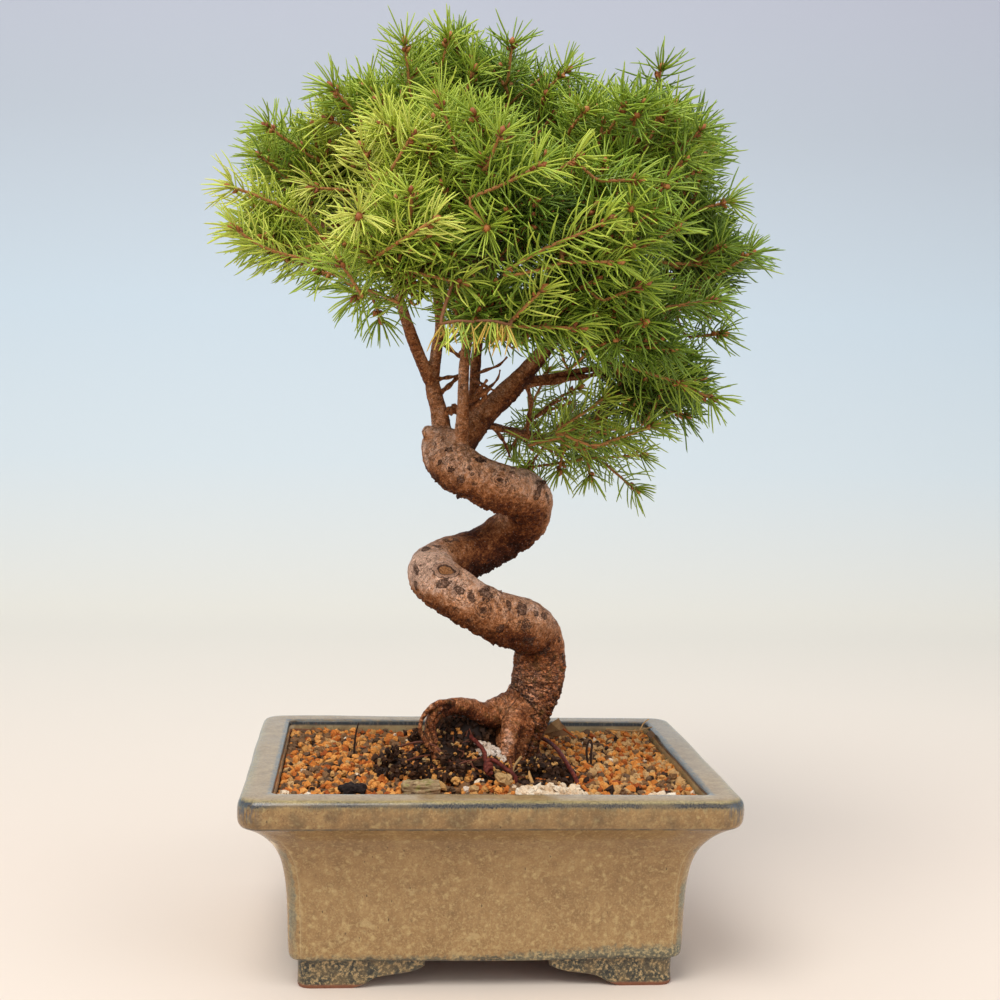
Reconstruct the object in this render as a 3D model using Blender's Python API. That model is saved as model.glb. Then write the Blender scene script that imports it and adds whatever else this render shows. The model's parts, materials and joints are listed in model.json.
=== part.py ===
"""Spruce bonsai with a corkscrew trunk in a glazed rectangular pot.

Row frame: +Z up, -Y is the viewing front, origin on the ground under the middle of the pot.
Every length below is in millimetres and is turned into metres when a mesh is made.
"""

import math

import bmesh
import bpy
from mathutils import Matrix, Vector

for old in list(bpy.data.objects):
    bpy.data.objects.remove(old, do_unlink=True)

MM = 0.001
GAP = 0.3  # clearance between touching solids

# ---------------------------------------------------------------- driving dimensions
POT_W = 200.0  # over the rim, left to right
POT_D = 166.0  # over the rim, front to back
POT_H = 82.0  # ground to rim top
BELLY = 11.5  # underside of the pot floor above the ground
FLOOR_TOP = 18.0
SKEW = (POT_W - POT_D) / 2  # half-depth = half-width - SKEW at every level
FOOT_A = 76.5  # half-width over the feet
FOOT_T = 10.0
DRAIN_X = 40.0
DRAIN_R = 7.0
SOIL_EDGE = 76.5  # soil level along the pot wall
SOIL_CROWN = 2.0  # how much the soil rises towards the trunk
WIRE_R = 0.75
MESH_W = 22.8
MESH_T = 1.0
HOLE_OFF = 2.66  # from a screen's middle to the middle of its nearest opening

# outer wall: (height, half-width, corner radius)
OUTER = [
    (BELLY, 76.6, 5.5),
    (11.9, 78.6, 6.2),
    (13.2, 80.0, 6.6),
    (20.0, 80.5, 6.8),
    (34.0, 81.0, 7.0),
    (44.0, 81.8, 7.2),
    (52.0, 83.3, 7.4),
    (58.5, 86.0, 7.6),
    (63.5, 89.6, 7.8),
    (67.0, 93.2, 8.0),
    (69.4, 96.6, 8.2),
    (70.6, 98.6, 8.4),
    (72.4, 99.6, 8.6),
    (75.0, 100.0, 8.8),
    (79.0, 99.9, 8.8),
    (81.2, 98.8, 8.2),
    (POT_H, 96.6, 7.0),
    (POT_H, 88.4, 4.6),
    (81.2, 87.0, 3.8),
    (77.0, 86.4, 3.6),
    (68.0, 85.4, 3.6),
    (62.0, 82.6, 4.0),
    (55.0, 79.0, 5.0),
    (44.0, 76.4, 5.5),
    (28.0, 74.8, 6.0),
    (20.5, 73.4, 6.0),
    (FLOOR_TOP, 70.4, 5.0),
]
INNER = [(z, a, r) for z, a, r in OUTER[18:]]

# foot: (height, leg length along the front, leg length along the side)
FOOT = [
    (0.0, 22.5, 19.0),
    (0.8, 25.0, 21.5),
    (2.3, 28.5, 25.0),
    (4.4, 32.0, 28.0),
    (5.7, 38.0, 32.5),
    (6.7, 45.0, 37.0),
    (8.3, 50.0, 40.0),
    (9.8, 51.0, 41.0),
    (14.5, 51.5, 41.4),
]

# trunk: (x, y, z, radius), a corkscrew that was grown round a stake
TRUNK = [
    (12.0, -2.0, 62.0, 7.5),
    (13.0, -1.0, 74.0, 10.4),
    (14.8, -0.5, 86.0, 10.8),
    (18.8, 0.5, 99.0, 11.3),
    (24.4, 2.0, 112.0, 11.4),
    (25.5, 2.0, 124.0, 11.4),
    (23.2, -2.0, 135.0, 11.0),
    (16.0, -9.0, 140.8, 11.7),
    (1.0, -14.5, 146.5, 10.6),
    (-13.0, -14.5, 154.5, 10.6),
    (-23.0, -8.0, 162.0, 10.8),
    (-18.0, 4.0, 166.5, 10.0),
    (-2.0, 12.0, 170.5, 10.2),
    (11.0, 12.0, 179.0, 10.1),
    (19.0, 4.5, 188.5, 10.4),
    (16.0, -5.0, 197.0, 10.6),
    (2.5, -10.0, 201.0, 10.4),
    (-11.5, -9.5, 207.5, 10.3),
    (-18.5, -5.5, 214.0, 10.0),
    (-20.5, -1.5, 221.5, 8.4),
]

ROOTS = {
    "arch": [(22, 1, 103.5, 6.5), (13.5, -0.5, 102, 7.8), (5.4, -3, 100.3, 6.8), (0.3, -6, 100.9, 5.3), (-5.7, -9, 104.3, 4.2), (-11.1, -12, 105.7, 3.8), (-16, -14, 105.4, 3.6), (-19.9, -16, 103.6, 3.2), (-22.5, -18, 100.6, 2.8), (-23.6, -19, 96, 2.5), (-22.9, -20, 91.1, 2.4), (-20.2, -21, 85.2, 2.4), (-18.4, -21.5, 78, 2.2), (-17.6, -22, 74, 2.0)],
    "front": [(16, -5, 101, 6.0), (12.2, -11, 95, 4.6), (11.2, -13.5, 89, 4.0), (10.2, -15, 82, 4.0), (9, -17.5, 74, 3.4)],
    "right": [(17, 2, 88, 7.0), (23, 2, 80, 5.2), (29, 3, 74, 3.2)],
    "rear": [(14, 3, 88, 7.0), (9, 12, 79, 5.0), (6, 20, 73.5, 3.0)],
}

LIMBS = {
    "a": [(-19, -2, 218, 5.0), (-21.5, -3.5, 231, 3.9), (-24, -5, 240, 3.5), (-25.5, -6, 248, 3.2)],
    "a1": [(-25, -6, 244, 3.0), (-31, -10, 256, 2.7), (-36, -14, 268, 2.5), (-40, -15, 280, 2.2), (-43, -11, 292, 2.0), (-45, -5, 304, 1.8)],
    "a2": [(-25, -6, 243, 3.0), (-23.5, -6, 258, 2.6), (-22, -6, 270, 2.3), (-24, -8, 284, 2.1), (-27, -9, 300, 1.9), (-30, -10, 318, 1.7), (-33, -10, 332, 1.5)],
    "b": [(-13, -8, 216, 4.0), (-12, -12, 227, 3.0), (-12, -13.5, 238, 2.6), (-12, -14, 250, 2.4), (-11, -17, 262, 2.2), (-8, -22, 276, 2.0), (-4, -27, 290, 1.8), (-3, -30, 304, 1.6)],
    "c": [(-9, 1, 219, 4.0), (-6, 7, 230, 3.0), (-5.5, 11, 242, 2.6), (-5, 13, 256, 2.4), (-3, 15, 274, 2.2), (-1, 15, 294, 2.0), (-1, 12, 314, 1.8), (-3, 8, 334, 1.6)],
    "d": [(-12, 0, 217, 6.0), (-3, 4, 230, 5.6), (7, 6, 240, 5.0), (16, 5, 250, 4.2), (25, 4, 261, 3.4), (34, 4, 275, 2.8), (41, 4, 291, 2.4), (46, 3, 308, 2.1), (48, 2, 324, 1.8)],
    "d1": [(13, 6, 246, 3.0), (26, 9, 248, 1.9), (38, 8, 251, 1.7), (46, 2, 253, 1.5)],
    "e": [(-5, 3, 226, 2.5), (4, 9, 226.5, 1.5), (11, 14, 225, 1.3)],
    "knob": [(-20, -4, 214, 5.0), (-24.4, -4.8, 221.6, 3.6), (-26.8, -5, 226.4, 2.1)],
}

# foliage clumps: name, centre x y z, radii x y z, the limb that feeds it and how far along
CLUMPS = [
    ("far_left", (-93.5, -25, 304), (31.5, 27, 23), "a1", 0.85),
    ("left_upper", (-82, 6, 340), (31, 32, 26), "a1", 1.0),
    ("left_low", (-69, -28, 281), (26, 26, 18), "a1", 0.55),
    ("top_left", (-46, -14, 364), (33, 31, 27), "a2", 1.0),
    ("top", (-8, 0, 378), (36, 31, 22.5), "c", 1.0),
    ("top_right", (45, 0, 365), (37, 33, 27), "d", 1.0),
    ("right_upper", (88, 10, 344), (28, 32, 30), "d", 0.92),
    ("right", (99, 0, 299), (26, 30, 33), "d", 0.75),
    ("right_low", (76, -14, 243), (37, 32, 25), "d1", 1.0),
    ("rear_right_low", (44, 46, 221), (42, 31, 25), "e", 1.0),
    ("front_left", (-41, -72, 300), (33, 31, 29), "b", 0.9),
    ("front_middle", (-3, -77, 318), (31, 27.5, 31), "b", 1.0),
    ("front_right", (40, -70, 307), (34, 33, 31), "d", 0.7),
    ("front_low", (2, -66, 273), (34, 30, 19), "b", 0.75),
    ("front_right_low", (54, -50, 272), (34, 32, 25), "d", 0.6),
    ("front_left_upper", (-28, -50, 340), (35, 32, 28), "a2", 0.85),
    ("front_right_upper", (52, -48, 342), (35, 32, 28), "d", 0.95),
    ("rear_left", (-60, 60, 328), (42, 40, 37), "c", 0.6),
    ("rear_top", (-3, 56, 368), (41, 39, 31), "c", 0.9),
    ("rear_right", (72, 62, 333), (42, 40, 38), "d", 0.85),
    ("rear_middle", (8, 78.3, 308), (42, 25.5, 36), "c", 0.65),
]
CROWN_TOP = 401.0


# ---------------------------------------------------------------- helpers
def material(name, rgb, rough, metal=0.0):
    m = bpy.data.materials.new(name)
    m.use_nodes = True
    bsdf = m.node_tree.nodes["Principled BSDF"]
    bsdf.inputs["Base Color"].default_value = (*rgb, 1)
    bsdf.inputs["Roughness"].default_value = rough
    bsdf.inputs["Metallic"].default_value = metal
    return m


GLAZE = material("pot_glaze", (0.36, 0.29, 0.19), 0.3)
PLASTIC = material("screen_plastic", (0.03, 0.03, 0.03), 0.6)
WIRE = material("brown_wire", (0.2, 0.07, 0.05), 0.35, 0.8)
SOIL = material("soil", (0.42, 0.2, 0.07), 0.95)
PEAT = material("old_soil", (0.04, 0.025, 0.018), 0.95)
BARK = material("bark", (0.28, 0.15, 0.1), 0.85)
NEEDLE = material("needles", (0.13, 0.26, 0.03), 0.5)
CHIP = material("bark_chip", (0.3, 0.2, 0.1), 0.9)
COAL = material("fertiliser", (0.02, 0.015, 0.014), 0.9)


def put(name, bm, mat, helper=False, smooth=True, at=(0, 0, 0)):
    """Makes the object from a bmesh in millimetres; its origin goes to at."""
    bmesh.ops.recalc_face_normals(bm, faces=bm.faces[:])
    mesh = bpy.data.meshes.new(name)
    bm.transform(Matrix.Translation(-Vector(at)))
    bm.transform(Matrix.Scale(MM, 4))
    bm.to_mesh(mesh)
    bm.free()
    if smooth:
        mesh.shade_smooth()
        mesh.set_sharp_from_angle(angle=math.radians(40))
    mesh.materials.append(mat)
    obj = bpy.data.objects.new(name, mesh)
    obj.location = Vector(at) * MM
    bpy.context.scene.collection.objects.link(obj)
    if helper:
        obj.hide_render = True
        obj.display_type = "WIRE"
    return obj


def boolean(obj, other, how):
    m = obj.modifiers.new(how.lower() + "_" + other.name, "BOOLEAN")
    m.operation = how
    m.solver = "EXACT"
    m.object = other
    return m


def rounded(a, b, r, seg=4):
    """Points of a rounded rectangle, anticlockwise from the front right corner's start."""
    out = []
    for cx, cy, start in ((a - r, -b + r, -90), (a - r, b - r, 0), (-a + r, b - r, 90), (-a + r, -b + r, 180)):
        for i in range(seg + 1):
            t = math.radians(start + 90 * i / seg)
            out.append((cx + r * math.cos(t), cy + r * math.sin(t)))
    return out


def loft(bm, rings, cap_first=True, cap_last=True):
    """Rings of equal length joined in order."""
    made = [[bm.verts.new(p) for p in ring] for ring in rings]
    n = len(made[0])
    for one, two in zip(made, made[1:]):
        for i in range(n):
            j = (i + 1) % n
            bm.faces.new((one[i], one[j], two[j], two[i]))
    if cap_first:
        bm.faces.new(made[0][::-1])
    if cap_last:
        bm.faces.new(made[-1])
    return made


def catmull(points, per):
    """Smooth curve through points of any dimension."""
    pts = [Vector(p) for p in points]
    out = []
    for i in range(len(pts) - 1):
        p0, p1, p2, p3 = pts[max(i - 1, 0)], pts[i], pts[i + 1], pts[min(i + 2, len(pts) - 1)]
        for k in range(per):
            t = k / per
            out.append(0.5 * ((2 * p1) + (p2 - p0) * t + (2 * p0 - 5 * p1 + 4 * p2 - p3) * t * t + (3 * p1 - p0 - 3 * p2 + p3) * t ** 3))
    out.append(pts[-1])
    return out


def tube(bm, rows, sides, per=2, grow=0.0, bumps=0.0):
    """A closed tapering tube along (x, y, z, radius) rows."""
    line = catmull(rows, per)
    centre = [Vector(p[:3]) for p in line]
    radius = [p[3] + grow for p in line]
    tangent = []
    for i in range(len(centre)):
        tangent.append((centre[min(i + 1, len(centre) - 1)] - centre[max(i - 1, 0)]).normalized())
    side = tangent[0].orthogonal().normalized()
    rings = []
    for i, c in enumerate(centre):
        side = (side - tangent[i] * side.dot(tangent[i])).normalized()
        other = tangent[i].cross(side)
        ring = []
        for k in range(sides):
            t = 2 * math.pi * k / sides
            r = radius[i] * (1 + bumps * math.sin(3 * t + 0.7 * i) * math.cos(0.9 * i))
            ring.append(c + (side * math.cos(t) + other * math.sin(t)) * r)
        rings.append(ring)
    loft(bm, rings)
    return centre


def along(rows, share):
    """The point and radius at a share of the way along a limb."""
    line = catmull(rows, 4)
    p = line[min(len(line) - 1, int(round(share * (len(line) - 1))))]
    return Vector(p[:3]), p[3]


# ---------------------------------------------------------------- pot
bm = bmesh.new()
loft(bm, [[(x, y, z) for x, y in rounded(a, a - SKEW, r)] for z, a, r in OUTER])
pot = put("pot", bm, GLAZE)


def foot(name, sx, sy):
    """A bracket foot: an L in plan whose legs grow longer towards the pot."""
    bm = bmesh.new()
    rings = []
    for z, lx, ly in FOOT:
        a, b, r = FOOT_A, FOOT_A - SKEW + 1.0, 5.0
        ring = [(a - lx, -b), (a - r, -b)]
        ring += [(a - r + r * math.sin(math.radians(t)), -b + r - r * math.cos(math.radians(t))) for t in (22.5, 45, 67.5)]
        ring += [(a, -b + r), (a, -b + ly), (a - FOOT_T, -b + ly), (a - FOOT_T, -b + FOOT_T), (a - lx, -b + FOOT_T)]
        rings.append([(x * sx, y * sy, z) for x, y in ring])
    loft(bm, rings)
    return put(name, bm, GLAZE, helper=True)


for fx in (-1, 1):
    for fy in (-1, 1):
        boolean(pot, foot(f"foot_shape_{fx}_{fy}", fx, fy), "UNION")


def cylinder(name, x, y, z0, z1, r, sides=24):
    bm = bmesh.new()
    ring = [(x + r * math.cos(2 * math.pi * i / sides), y + r * math.sin(2 * math.pi * i / sides)) for i in range(sides)]
    loft(bm, [[(px, py, z0) for px, py in ring], [(px, py, z1) for px, py in ring]])
    return put(name, bm, GLAZE, helper=True)


for s in (-1, 1):
    boolean(pot, cylinder(f"drain_cut_{s}", s * DRAIN_X, 0, 4, 30, DRAIN_R), "DIFFERENCE")


# ---------------------------------------------------------------- drain screens, one over each hole
def screen(name, x):
    """A square plate with a four by four grid of square openings."""
    bm = bmesh.new()
    openings, strand = 4, 1.5
    pitch = (MESH_W - strand) / openings
    cuts = [-MESH_W / 2]
    for i in range(openings):
        cuts += [cuts[0] + i * pitch + strand, cuts[0] + (i + 1) * pitch]
    cuts.append(MESH_W / 2)
    n = len(cuts)
    z0 = FLOOR_TOP + GAP
    verts = {}
    for k, z in enumerate((z0, z0 + MESH_T)):
        for i, u in enumerate(cuts):
            for j, v in enumerate(cuts):
                verts[i, j, k] = bm.verts.new((x + u, v, z))
    solid = {(i, j) for i in range(n - 1) for j in range(n - 1) if not (i % 2 == 1 and j % 2 == 1)}
    for i, j in solid:
        bm.faces.new([verts[i, j, 0], verts[i, j + 1, 0], verts[i + 1, j + 1, 0], verts[i + 1, j, 0]])
        bm.faces.new([verts[i, j, 1], verts[i + 1, j, 1], verts[i + 1, j + 1, 1], verts[i, j + 1, 1]])
        for (di, dj), (a, b) in (((-1, 0), ((0, 0), (0, 1))), ((1, 0), ((1, 1), (1, 0))), ((0, -1), ((1, 0), (0, 0))), ((0, 1), ((0, 1), (1, 1)))):
            if (i + di, j + dj) not in solid:
                p, q = (i + a[0], j + a[1]), (i + b[0], j + b[1])
                bm.faces.new([verts[*p, 0], verts[*p, 1], verts[*q, 1], verts[*q, 0]])
    return put(name, bm, PLASTIC, smooth=False)


screen("drain_mesh_left", -DRAIN_X)
screen("drain_mesh_right", DRAIN_X)


# ---------------------------------------------------------------- trunk, surface roots and limbs: one grown piece
def clump_surface(centre, radii, start):
    """How far along start -> centre the clump's skin lies."""
    c, s = Vector(centre), Vector(start)
    d = s - c
    k = math.sqrt(sum((d[i] / radii[i]) ** 2 for i in range(3)))
    return c + d / k


def wood_shapes(grow, prefix, whole):
    """Guide tubes for the roots, and for the limbs and twigs too when whole is set."""
    made = []

    def add(label, rows, sides):
        bm = bmesh.new()
        tube(bm, rows, sides, 2, grow)
        made.append(put(prefix + label, bm, BARK, helper=True))

    for label, rows in ROOTS.items():
        add(label, rows, 10)
    if whole:
        for label, rows in LIMBS.items():
            add(label, rows, 8)
        for label, centre, radii, limb, share in CLUMPS:
            start, r = along(LIMBS[limb], share)
            end = clump_surface(centre, [q + 0.9 for q in radii], start)
            mid = (start + end) / 2 + Vector((0, 0, 0.04 * (end - start).length))
            back = (start - end).normalized() * 0.3 * r
            rs = min(1.5, r * 0.8)
            add("twig_" + label, [(*(start + back), rs), (*mid, rs * 0.85), (*end, rs * 0.7)], 6)
    return made


bm = bmesh.new()
tube(bm, TRUNK, 14, 2, bumps=0.02)
trunk = put("trunk", bm, BARK)
for shape in wood_shapes(0.0, "shape_", True):
    boolean(trunk, shape, "UNION")

bm = bmesh.new()
tube(bm, TRUNK[:6], 14, 2, 0.45, bumps=0.02)
TRUNK_BED = [put("bed_trunk", bm, SOIL, helper=True)] + wood_shapes(0.45, "bed_", False)


# ---------------------------------------------------------------- tie wire: up through one hole, over the roots, down the other
def wire_rows():
    """One wire. It runs under the pot from hole to hole, rises through the soil, and its ends are twisted together before the roots."""
    knot = Vector((0.5, -34.5, 86.5))
    left = [
        (2.6, -34.6, 87.2),
        (7.0, -36.5, 84.6),
        (12.0, -39.5, 79.0),
        (6.0, -38.0, 62.0),
        (-20.0, -22.0, 44.0),
        (-40.0, -3.0, 30.0),
        (-42.66, HOLE_OFF, 21.5),
        (-42.66, HOLE_OFF, 16.5),
        (-42.3, HOLE_OFF, 12.0),
        (-38.5, 2.4, 9.7),
    ]
    under = [(-20.0, 1.5, 9.4), (0.0, 1.0, 9.4), (20.0, 1.5, 9.4)]
    right = [
        (38.5, 2.4, 9.7),
        (42.3, HOLE_OFF, 12.0),
        (42.66, HOLE_OFF, 16.5),
        (42.66, HOLE_OFF, 21.5),
        (42.4, -4.0, 32.0),
        (42.0, -30.0, 52.0),
        (39.5, -44.0, 70.0),
        (37.5, -41.5, 79.5),
        (35.5, -28.0, 83.0),
        (36.0, -12.0, 86.5),
        (36.5, 2.0, 88.5),
        (31.0, 14.5, 90.5),
        (20.0, 17.5, 92.0),
        (8.0, 13.0, 92.5),
        (0.0, 3.0, 92.5),
        (-5.0, -10.0, 92.0),
        (-3.0, -20.0, 91.2),
        (-0.6, -28.0, 89.2),
        (-0.6, -32.6, 87.6),
    ]
    return knot, left, under, right


WIRE_ROWS = wire_rows()


def wire(name, grow, mat, helper):
    knot, left, under, right = WIRE_ROWS
    twist = []
    for k in range(1, 7):  # the two ends wind round each other, sloping forward and down
        t = math.radians(90 * k)
        twist.append((t, knot + Vector((0, -0.9 * k, -0.55 * k))))
    r = WIRE_R + grow
    end_a = [tuple(c + Vector((math.cos(t), 0, math.sin(t))) * 1.25) for t, c in twist][::-1]
    end_b = [tuple(c - Vector((math.cos(t), 0, math.sin(t))) * 1.25) for t, c in twist]
    rows = [(*p, r) for p in end_a + left + under + right + end_b]
    bm = bmesh.new()
    tube(bm, rows, 8, 2)
    return put(name, bm, mat, helper)


tie_wire = wire("tie_wire", 0.0, WIRE, False)
WIRE_BED = []
for side_name, rows in (("left", WIRE_ROWS[1][:-1]), ("right", WIRE_ROWS[3][1:9])):
    bm = bmesh.new()
    tube(bm, [(*p, WIRE_R + 0.45) for p in rows], 8, 2)
    WIRE_BED.append(put("bed_wire_" + side_name, bm, SOIL, helper=True))


# ---------------------------------------------------------------- soil
def inner_half(z):
    """Half-width and corner radius of the pot's inside at a height."""
    rows = sorted(INNER)
    for (z0, a0, r0), (z1, a1, r1) in zip(rows, rows[1:]):
        if z0 <= z <= z1:
            t = (z - z0) / (z1 - z0)
            return a0 + (a1 - a0) * t, r0 + (r1 - r0) * t
    return rows[-1][1:] if z > rows[-1][0] else rows[0][1:]


MOUND = (-9.0, -14.0, 37.0, 27.0)  # centre x, y and half-sizes of the old root ball's top
MOUND_FLOOR = 75.5  # the old root ball's seat, sunk in the newer soil


def soil_height(x, y):
    d = math.hypot(x / 86, y / 69)
    h = SOIL_EDGE + SOIL_CROWN * max(0.0, 1 - d * d)
    h += 0.5 * math.sin(0.13 * x + 1.0) * math.cos(0.11 * y) * max(0.0, 1 - d ** 6)
    return h


def mound_outline(extra=0.0, sides=28):
    out = []
    for i in range(sides):
        t = 2 * math.pi * i / sides
        w = 1 + 0.05 * math.sin(3 * t + 1) + 0.04 * math.sin(5 * t)
        out.append((MOUND[0] + (MOUND[2] * w + extra) * math.cos(t), MOUND[1] + (MOUND[3] * w + extra) * math.sin(t)))
    return out


bm = bmesh.new()
rings = []
for z in (FLOOR_TOP + GAP, 21.0, 30.0, 44.0, 55.0, 62.0, 68.0, SOIL_EDGE):
    a, r = inner_half(z)
    a -= 0.35
    rings.append([(x, y, z) for x, y in rounded(a, a - SKEW, r)])
top = rings[-1]
for k in range(1, 8):
    s = 1 - k / 8
    rings.append([(x * s, y * s, soil_height(x * s, y * s)) for x, y, _ in top])
made = loft(bm, rings, cap_last=False)
middle = bm.verts.new((0, 0, soil_height(0, 0)))
last = made[-1]
for i in range(len(last)):
    bm.faces.new((last[i], last[(i + 1) % len(last)], middle))
soil = put("soil_bed", bm, SOIL)
for shape in TRUNK_BED + WIRE_BED:
    boolean(soil, shape, "DIFFERENCE")
for s in (-1, 1):
    bm = bmesh.new()
    bmesh.ops.create_cube(bm, size=1.0, matrix=Matrix.Translation((s * DRAIN_X, 0, FLOOR_TOP)) @ Matrix.Diagonal((MESH_W + 2 * GAP, MESH_W + 2 * GAP, 2 * (MESH_T + 2 * GAP), 1)))
    boolean(soil, put(f"screen_recess_{s}", bm, SOIL, helper=True, smooth=False), "DIFFERENCE")


bm = bmesh.new()
loft(bm, [[(x, y, z) for x, y in mound_outline(0.4)] for z in (MOUND_FLOOR - GAP, 100.0)])
boolean(soil, put("mound_seat", bm, SOIL, helper=True), "DIFFERENCE")


def mound_height(x, y):
    """Top of the old root ball: a lumpy dome under the arched root."""
    u, v = (x - MOUND[0]) / MOUND[2], (y - MOUND[1]) / MOUND[3]
    d = math.hypot(u, v)
    lump = 1.1 * math.sin(0.31 * x + 0.5) * math.sin(0.27 * y) + 0.6 * math.sin(0.7 * x) * math.cos(0.6 * y)
    peak = 9.0 * math.exp(-(((x + 12) / 22) ** 2) - ((y + 8) / 20) ** 2)
    return MOUND_FLOOR + 3.0 + (1 - min(1.0, d) ** 2.5) * (2.6 + peak + lump)


bm = bmesh.new()
outline = mound_outline()
rings = [[(x, y, MOUND_FLOOR) for x, y in outline]]
for s in (1.0, 0.92, 0.8, 0.66, 0.5, 0.34, 0.17):
    ring = [(MOUND[0] + (x - MOUND[0]) * s, MOUND[1] + (y - MOUND[1]) * s) for x, y in outline]
    rings.append([(x, y, max(MOUND_FLOOR + 2.6, mound_height(x, y))) for x, y in ring])
made = loft(bm, rings, cap_last=False)
middle = bm.verts.new((MOUND[0], MOUND[1], mound_height(MOUND[0], MOUND[1])))
for i in range(len(outline)):
    bm.faces.new((made[-1][i], made[-1][(i + 1) % len(outline)], middle))
root_ball = put("root_ball_soil", bm, PEAT)
for shape in TRUNK_BED + WIRE_BED[:1]:
    boolean(root_ball, shape, "DIFFERENCE")


# ---------------------------------------------------------------- loose bits lying on the soil
def pebble(bm, x, y, z, sx, sy, sz, turn, wobble):
    """A flat-bottomed rounded stone whose underside is at z."""
    made = bmesh.ops.create_icosphere(bm, subdivisions=1, radius=1.0)["verts"]
    for i, v in enumerate(made):
        v.co *= 1 + wobble * math.sin(2.3 * i + turn * 5)
    low = min(v.co.z for v in made)
    c, s = math.cos(turn), math.sin(turn)
    for v in made:
        px, py, pz = v.co.x * sx, v.co.y * sy, (v.co.z - low) * sz
        v.co = (x + px * c - py * s, y + px * s + py * c, z + pz)


def top_of_soil(x, y, half):
    """Highest soil under a small footprint."""
    return max(soil_height(x + dx * half, y + dy * half) for dx in (-1, 0, 1) for dy in (-1, 0, 1)) + GAP


bm = bmesh.new()
chip_z = top_of_soil(-28, -51, 9)
bmesh.ops.create_cube(bm, size=1.0, matrix=Matrix.Translation((-28, -51.5, chip_z + 2.2)) @ Matrix.Rotation(0.05, 4, "Z") @ Matrix.Diagonal((16.5, 7.5, 4.4, 1)))
bmesh.ops.bevel(bm, geom=bm.edges[:], offset=0.9, segments=2, affect="EDGES", profile=0.6)
put("bark_chip", bm, CHIP)

bm = bmesh.new()
pebble(bm, -55.5, -52.5, top_of_soil(-55.5, -52.5, 4), 5.6, 3.6, 2.3, 0.1, 0.07)
put("fertiliser_lump", bm, COAL, smooth=False)


# ---------------------------------------------------------------- foliage: one clump of needled shoots for each twig
def lumpy(v, seed):
    return 1 + 0.045 * math.sin(4.1 * v.x + seed) * math.sin(3.7 * v.y + 2 * seed) + 0.035 * math.sin(5.3 * v.z + 3 * seed)


def reach(radii, n):
    """Support distance of an ellipsoid along n."""
    return math.sqrt(sum((radii[i] * n[i]) ** 2 for i in range(3)))


for index, (label, centre, radii, limb, share) in enumerate(CLUMPS):
    bm = bmesh.new()
    bmesh.ops.create_icosphere(bm, subdivisions=2, radius=1.0)
    for v in bm.verts:
        k = min(1.0, lumpy(v.co.normalized(), 1.3 * index))
        v.co = Vector([v.co[i] * radii[i] * k for i in range(3)]) + Vector(centre)
    for other, c2, r2, _, _ in CLUMPS:
        if other == label:
            continue
        n = Vector(c2) - Vector(centre)
        d = n.length
        n.normalize()
        own, far = reach(radii, n), reach(r2, n)
        if own + far + 1.0 < d:
            continue
        cut = Vector(centre) + n * (d * own / (own + far) - 0.45)
        got = bmesh.ops.bisect_plane(bm, geom=bm.verts[:] + bm.edges[:] + bm.faces[:], dist=1e-5, plane_co=cut, plane_no=n, clear_outer=True)
        edges = [e for e in got["geom_cut"] if isinstance(e, bmesh.types.BMEdge)]
        if edges:
            bmesh.ops.holes_fill(bm, edges=[e for e in bm.edges if e.is_boundary], sides=0)
    bmesh.ops.remove_doubles(bm, verts=bm.verts[:], dist=0.02)
    bmesh.ops.triangulate(bm, faces=[f for f in bm.faces if len(f.verts) > 4])
    put("foliage_" + label, bm, NEEDLE)
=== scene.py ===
"""Looks of the spruce bonsai: bark, needles, glaze, soil grains, light and camera.

Lengths are worked out in millimetres in the part's frame and turned into metres when a mesh is made.
"""
import json
import math

import bmesh
import bpy
import numpy as np
from mathutils import Matrix, Vector, noise
from mathutils.kdtree import KDTree

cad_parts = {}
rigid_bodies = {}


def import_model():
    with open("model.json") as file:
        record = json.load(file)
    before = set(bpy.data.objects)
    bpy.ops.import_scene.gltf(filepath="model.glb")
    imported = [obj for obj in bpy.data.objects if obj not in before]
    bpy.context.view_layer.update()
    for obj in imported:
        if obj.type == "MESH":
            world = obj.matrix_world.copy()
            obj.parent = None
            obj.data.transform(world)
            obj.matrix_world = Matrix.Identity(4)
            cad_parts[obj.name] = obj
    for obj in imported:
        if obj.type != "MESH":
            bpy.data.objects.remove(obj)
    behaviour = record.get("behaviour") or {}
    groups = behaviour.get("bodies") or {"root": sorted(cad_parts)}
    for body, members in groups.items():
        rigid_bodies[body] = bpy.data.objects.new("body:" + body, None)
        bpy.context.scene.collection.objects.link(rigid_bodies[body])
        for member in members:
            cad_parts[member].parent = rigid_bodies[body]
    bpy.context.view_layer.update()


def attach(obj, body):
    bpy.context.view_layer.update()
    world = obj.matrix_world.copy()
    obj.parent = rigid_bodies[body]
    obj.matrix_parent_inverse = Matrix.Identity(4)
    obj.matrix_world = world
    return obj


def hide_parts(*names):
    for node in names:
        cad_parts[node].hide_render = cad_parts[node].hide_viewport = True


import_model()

MM = 0.001
scene = bpy.context.scene

# ================================================================ camera
YAW, PITCH, ROLL = math.radians(5.135), math.radians(3.395), math.radians(1.372)
CAM = np.array([-53.3, -660.2, 233.7])
FOCAL = 1516.3  # in pixels of a 1000 pixel wide picture
FWD = np.array([math.sin(YAW) * math.cos(PITCH), math.cos(YAW) * math.cos(PITCH), -math.sin(PITCH)])
_R0 = np.array([math.cos(YAW), -math.sin(YAW), 0.0])
_U0 = np.cross(_R0, FWD)
RIGHT = _R0 * math.cos(ROLL) + _U0 * math.sin(ROLL)
UP = -_R0 * math.sin(ROLL) + _U0 * math.cos(ROLL)


def ray(px, py):
    d = FWD * FOCAL + RIGHT * (px - 500.0) + UP * (500.0 - py)
    return d / np.linalg.norm(d)


def at(px, py, y):
    """The point at depth y that the picture shows at a pixel."""
    d = ray(px, py)
    return CAM + d * ((y - CAM[1]) / d[1])


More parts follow.
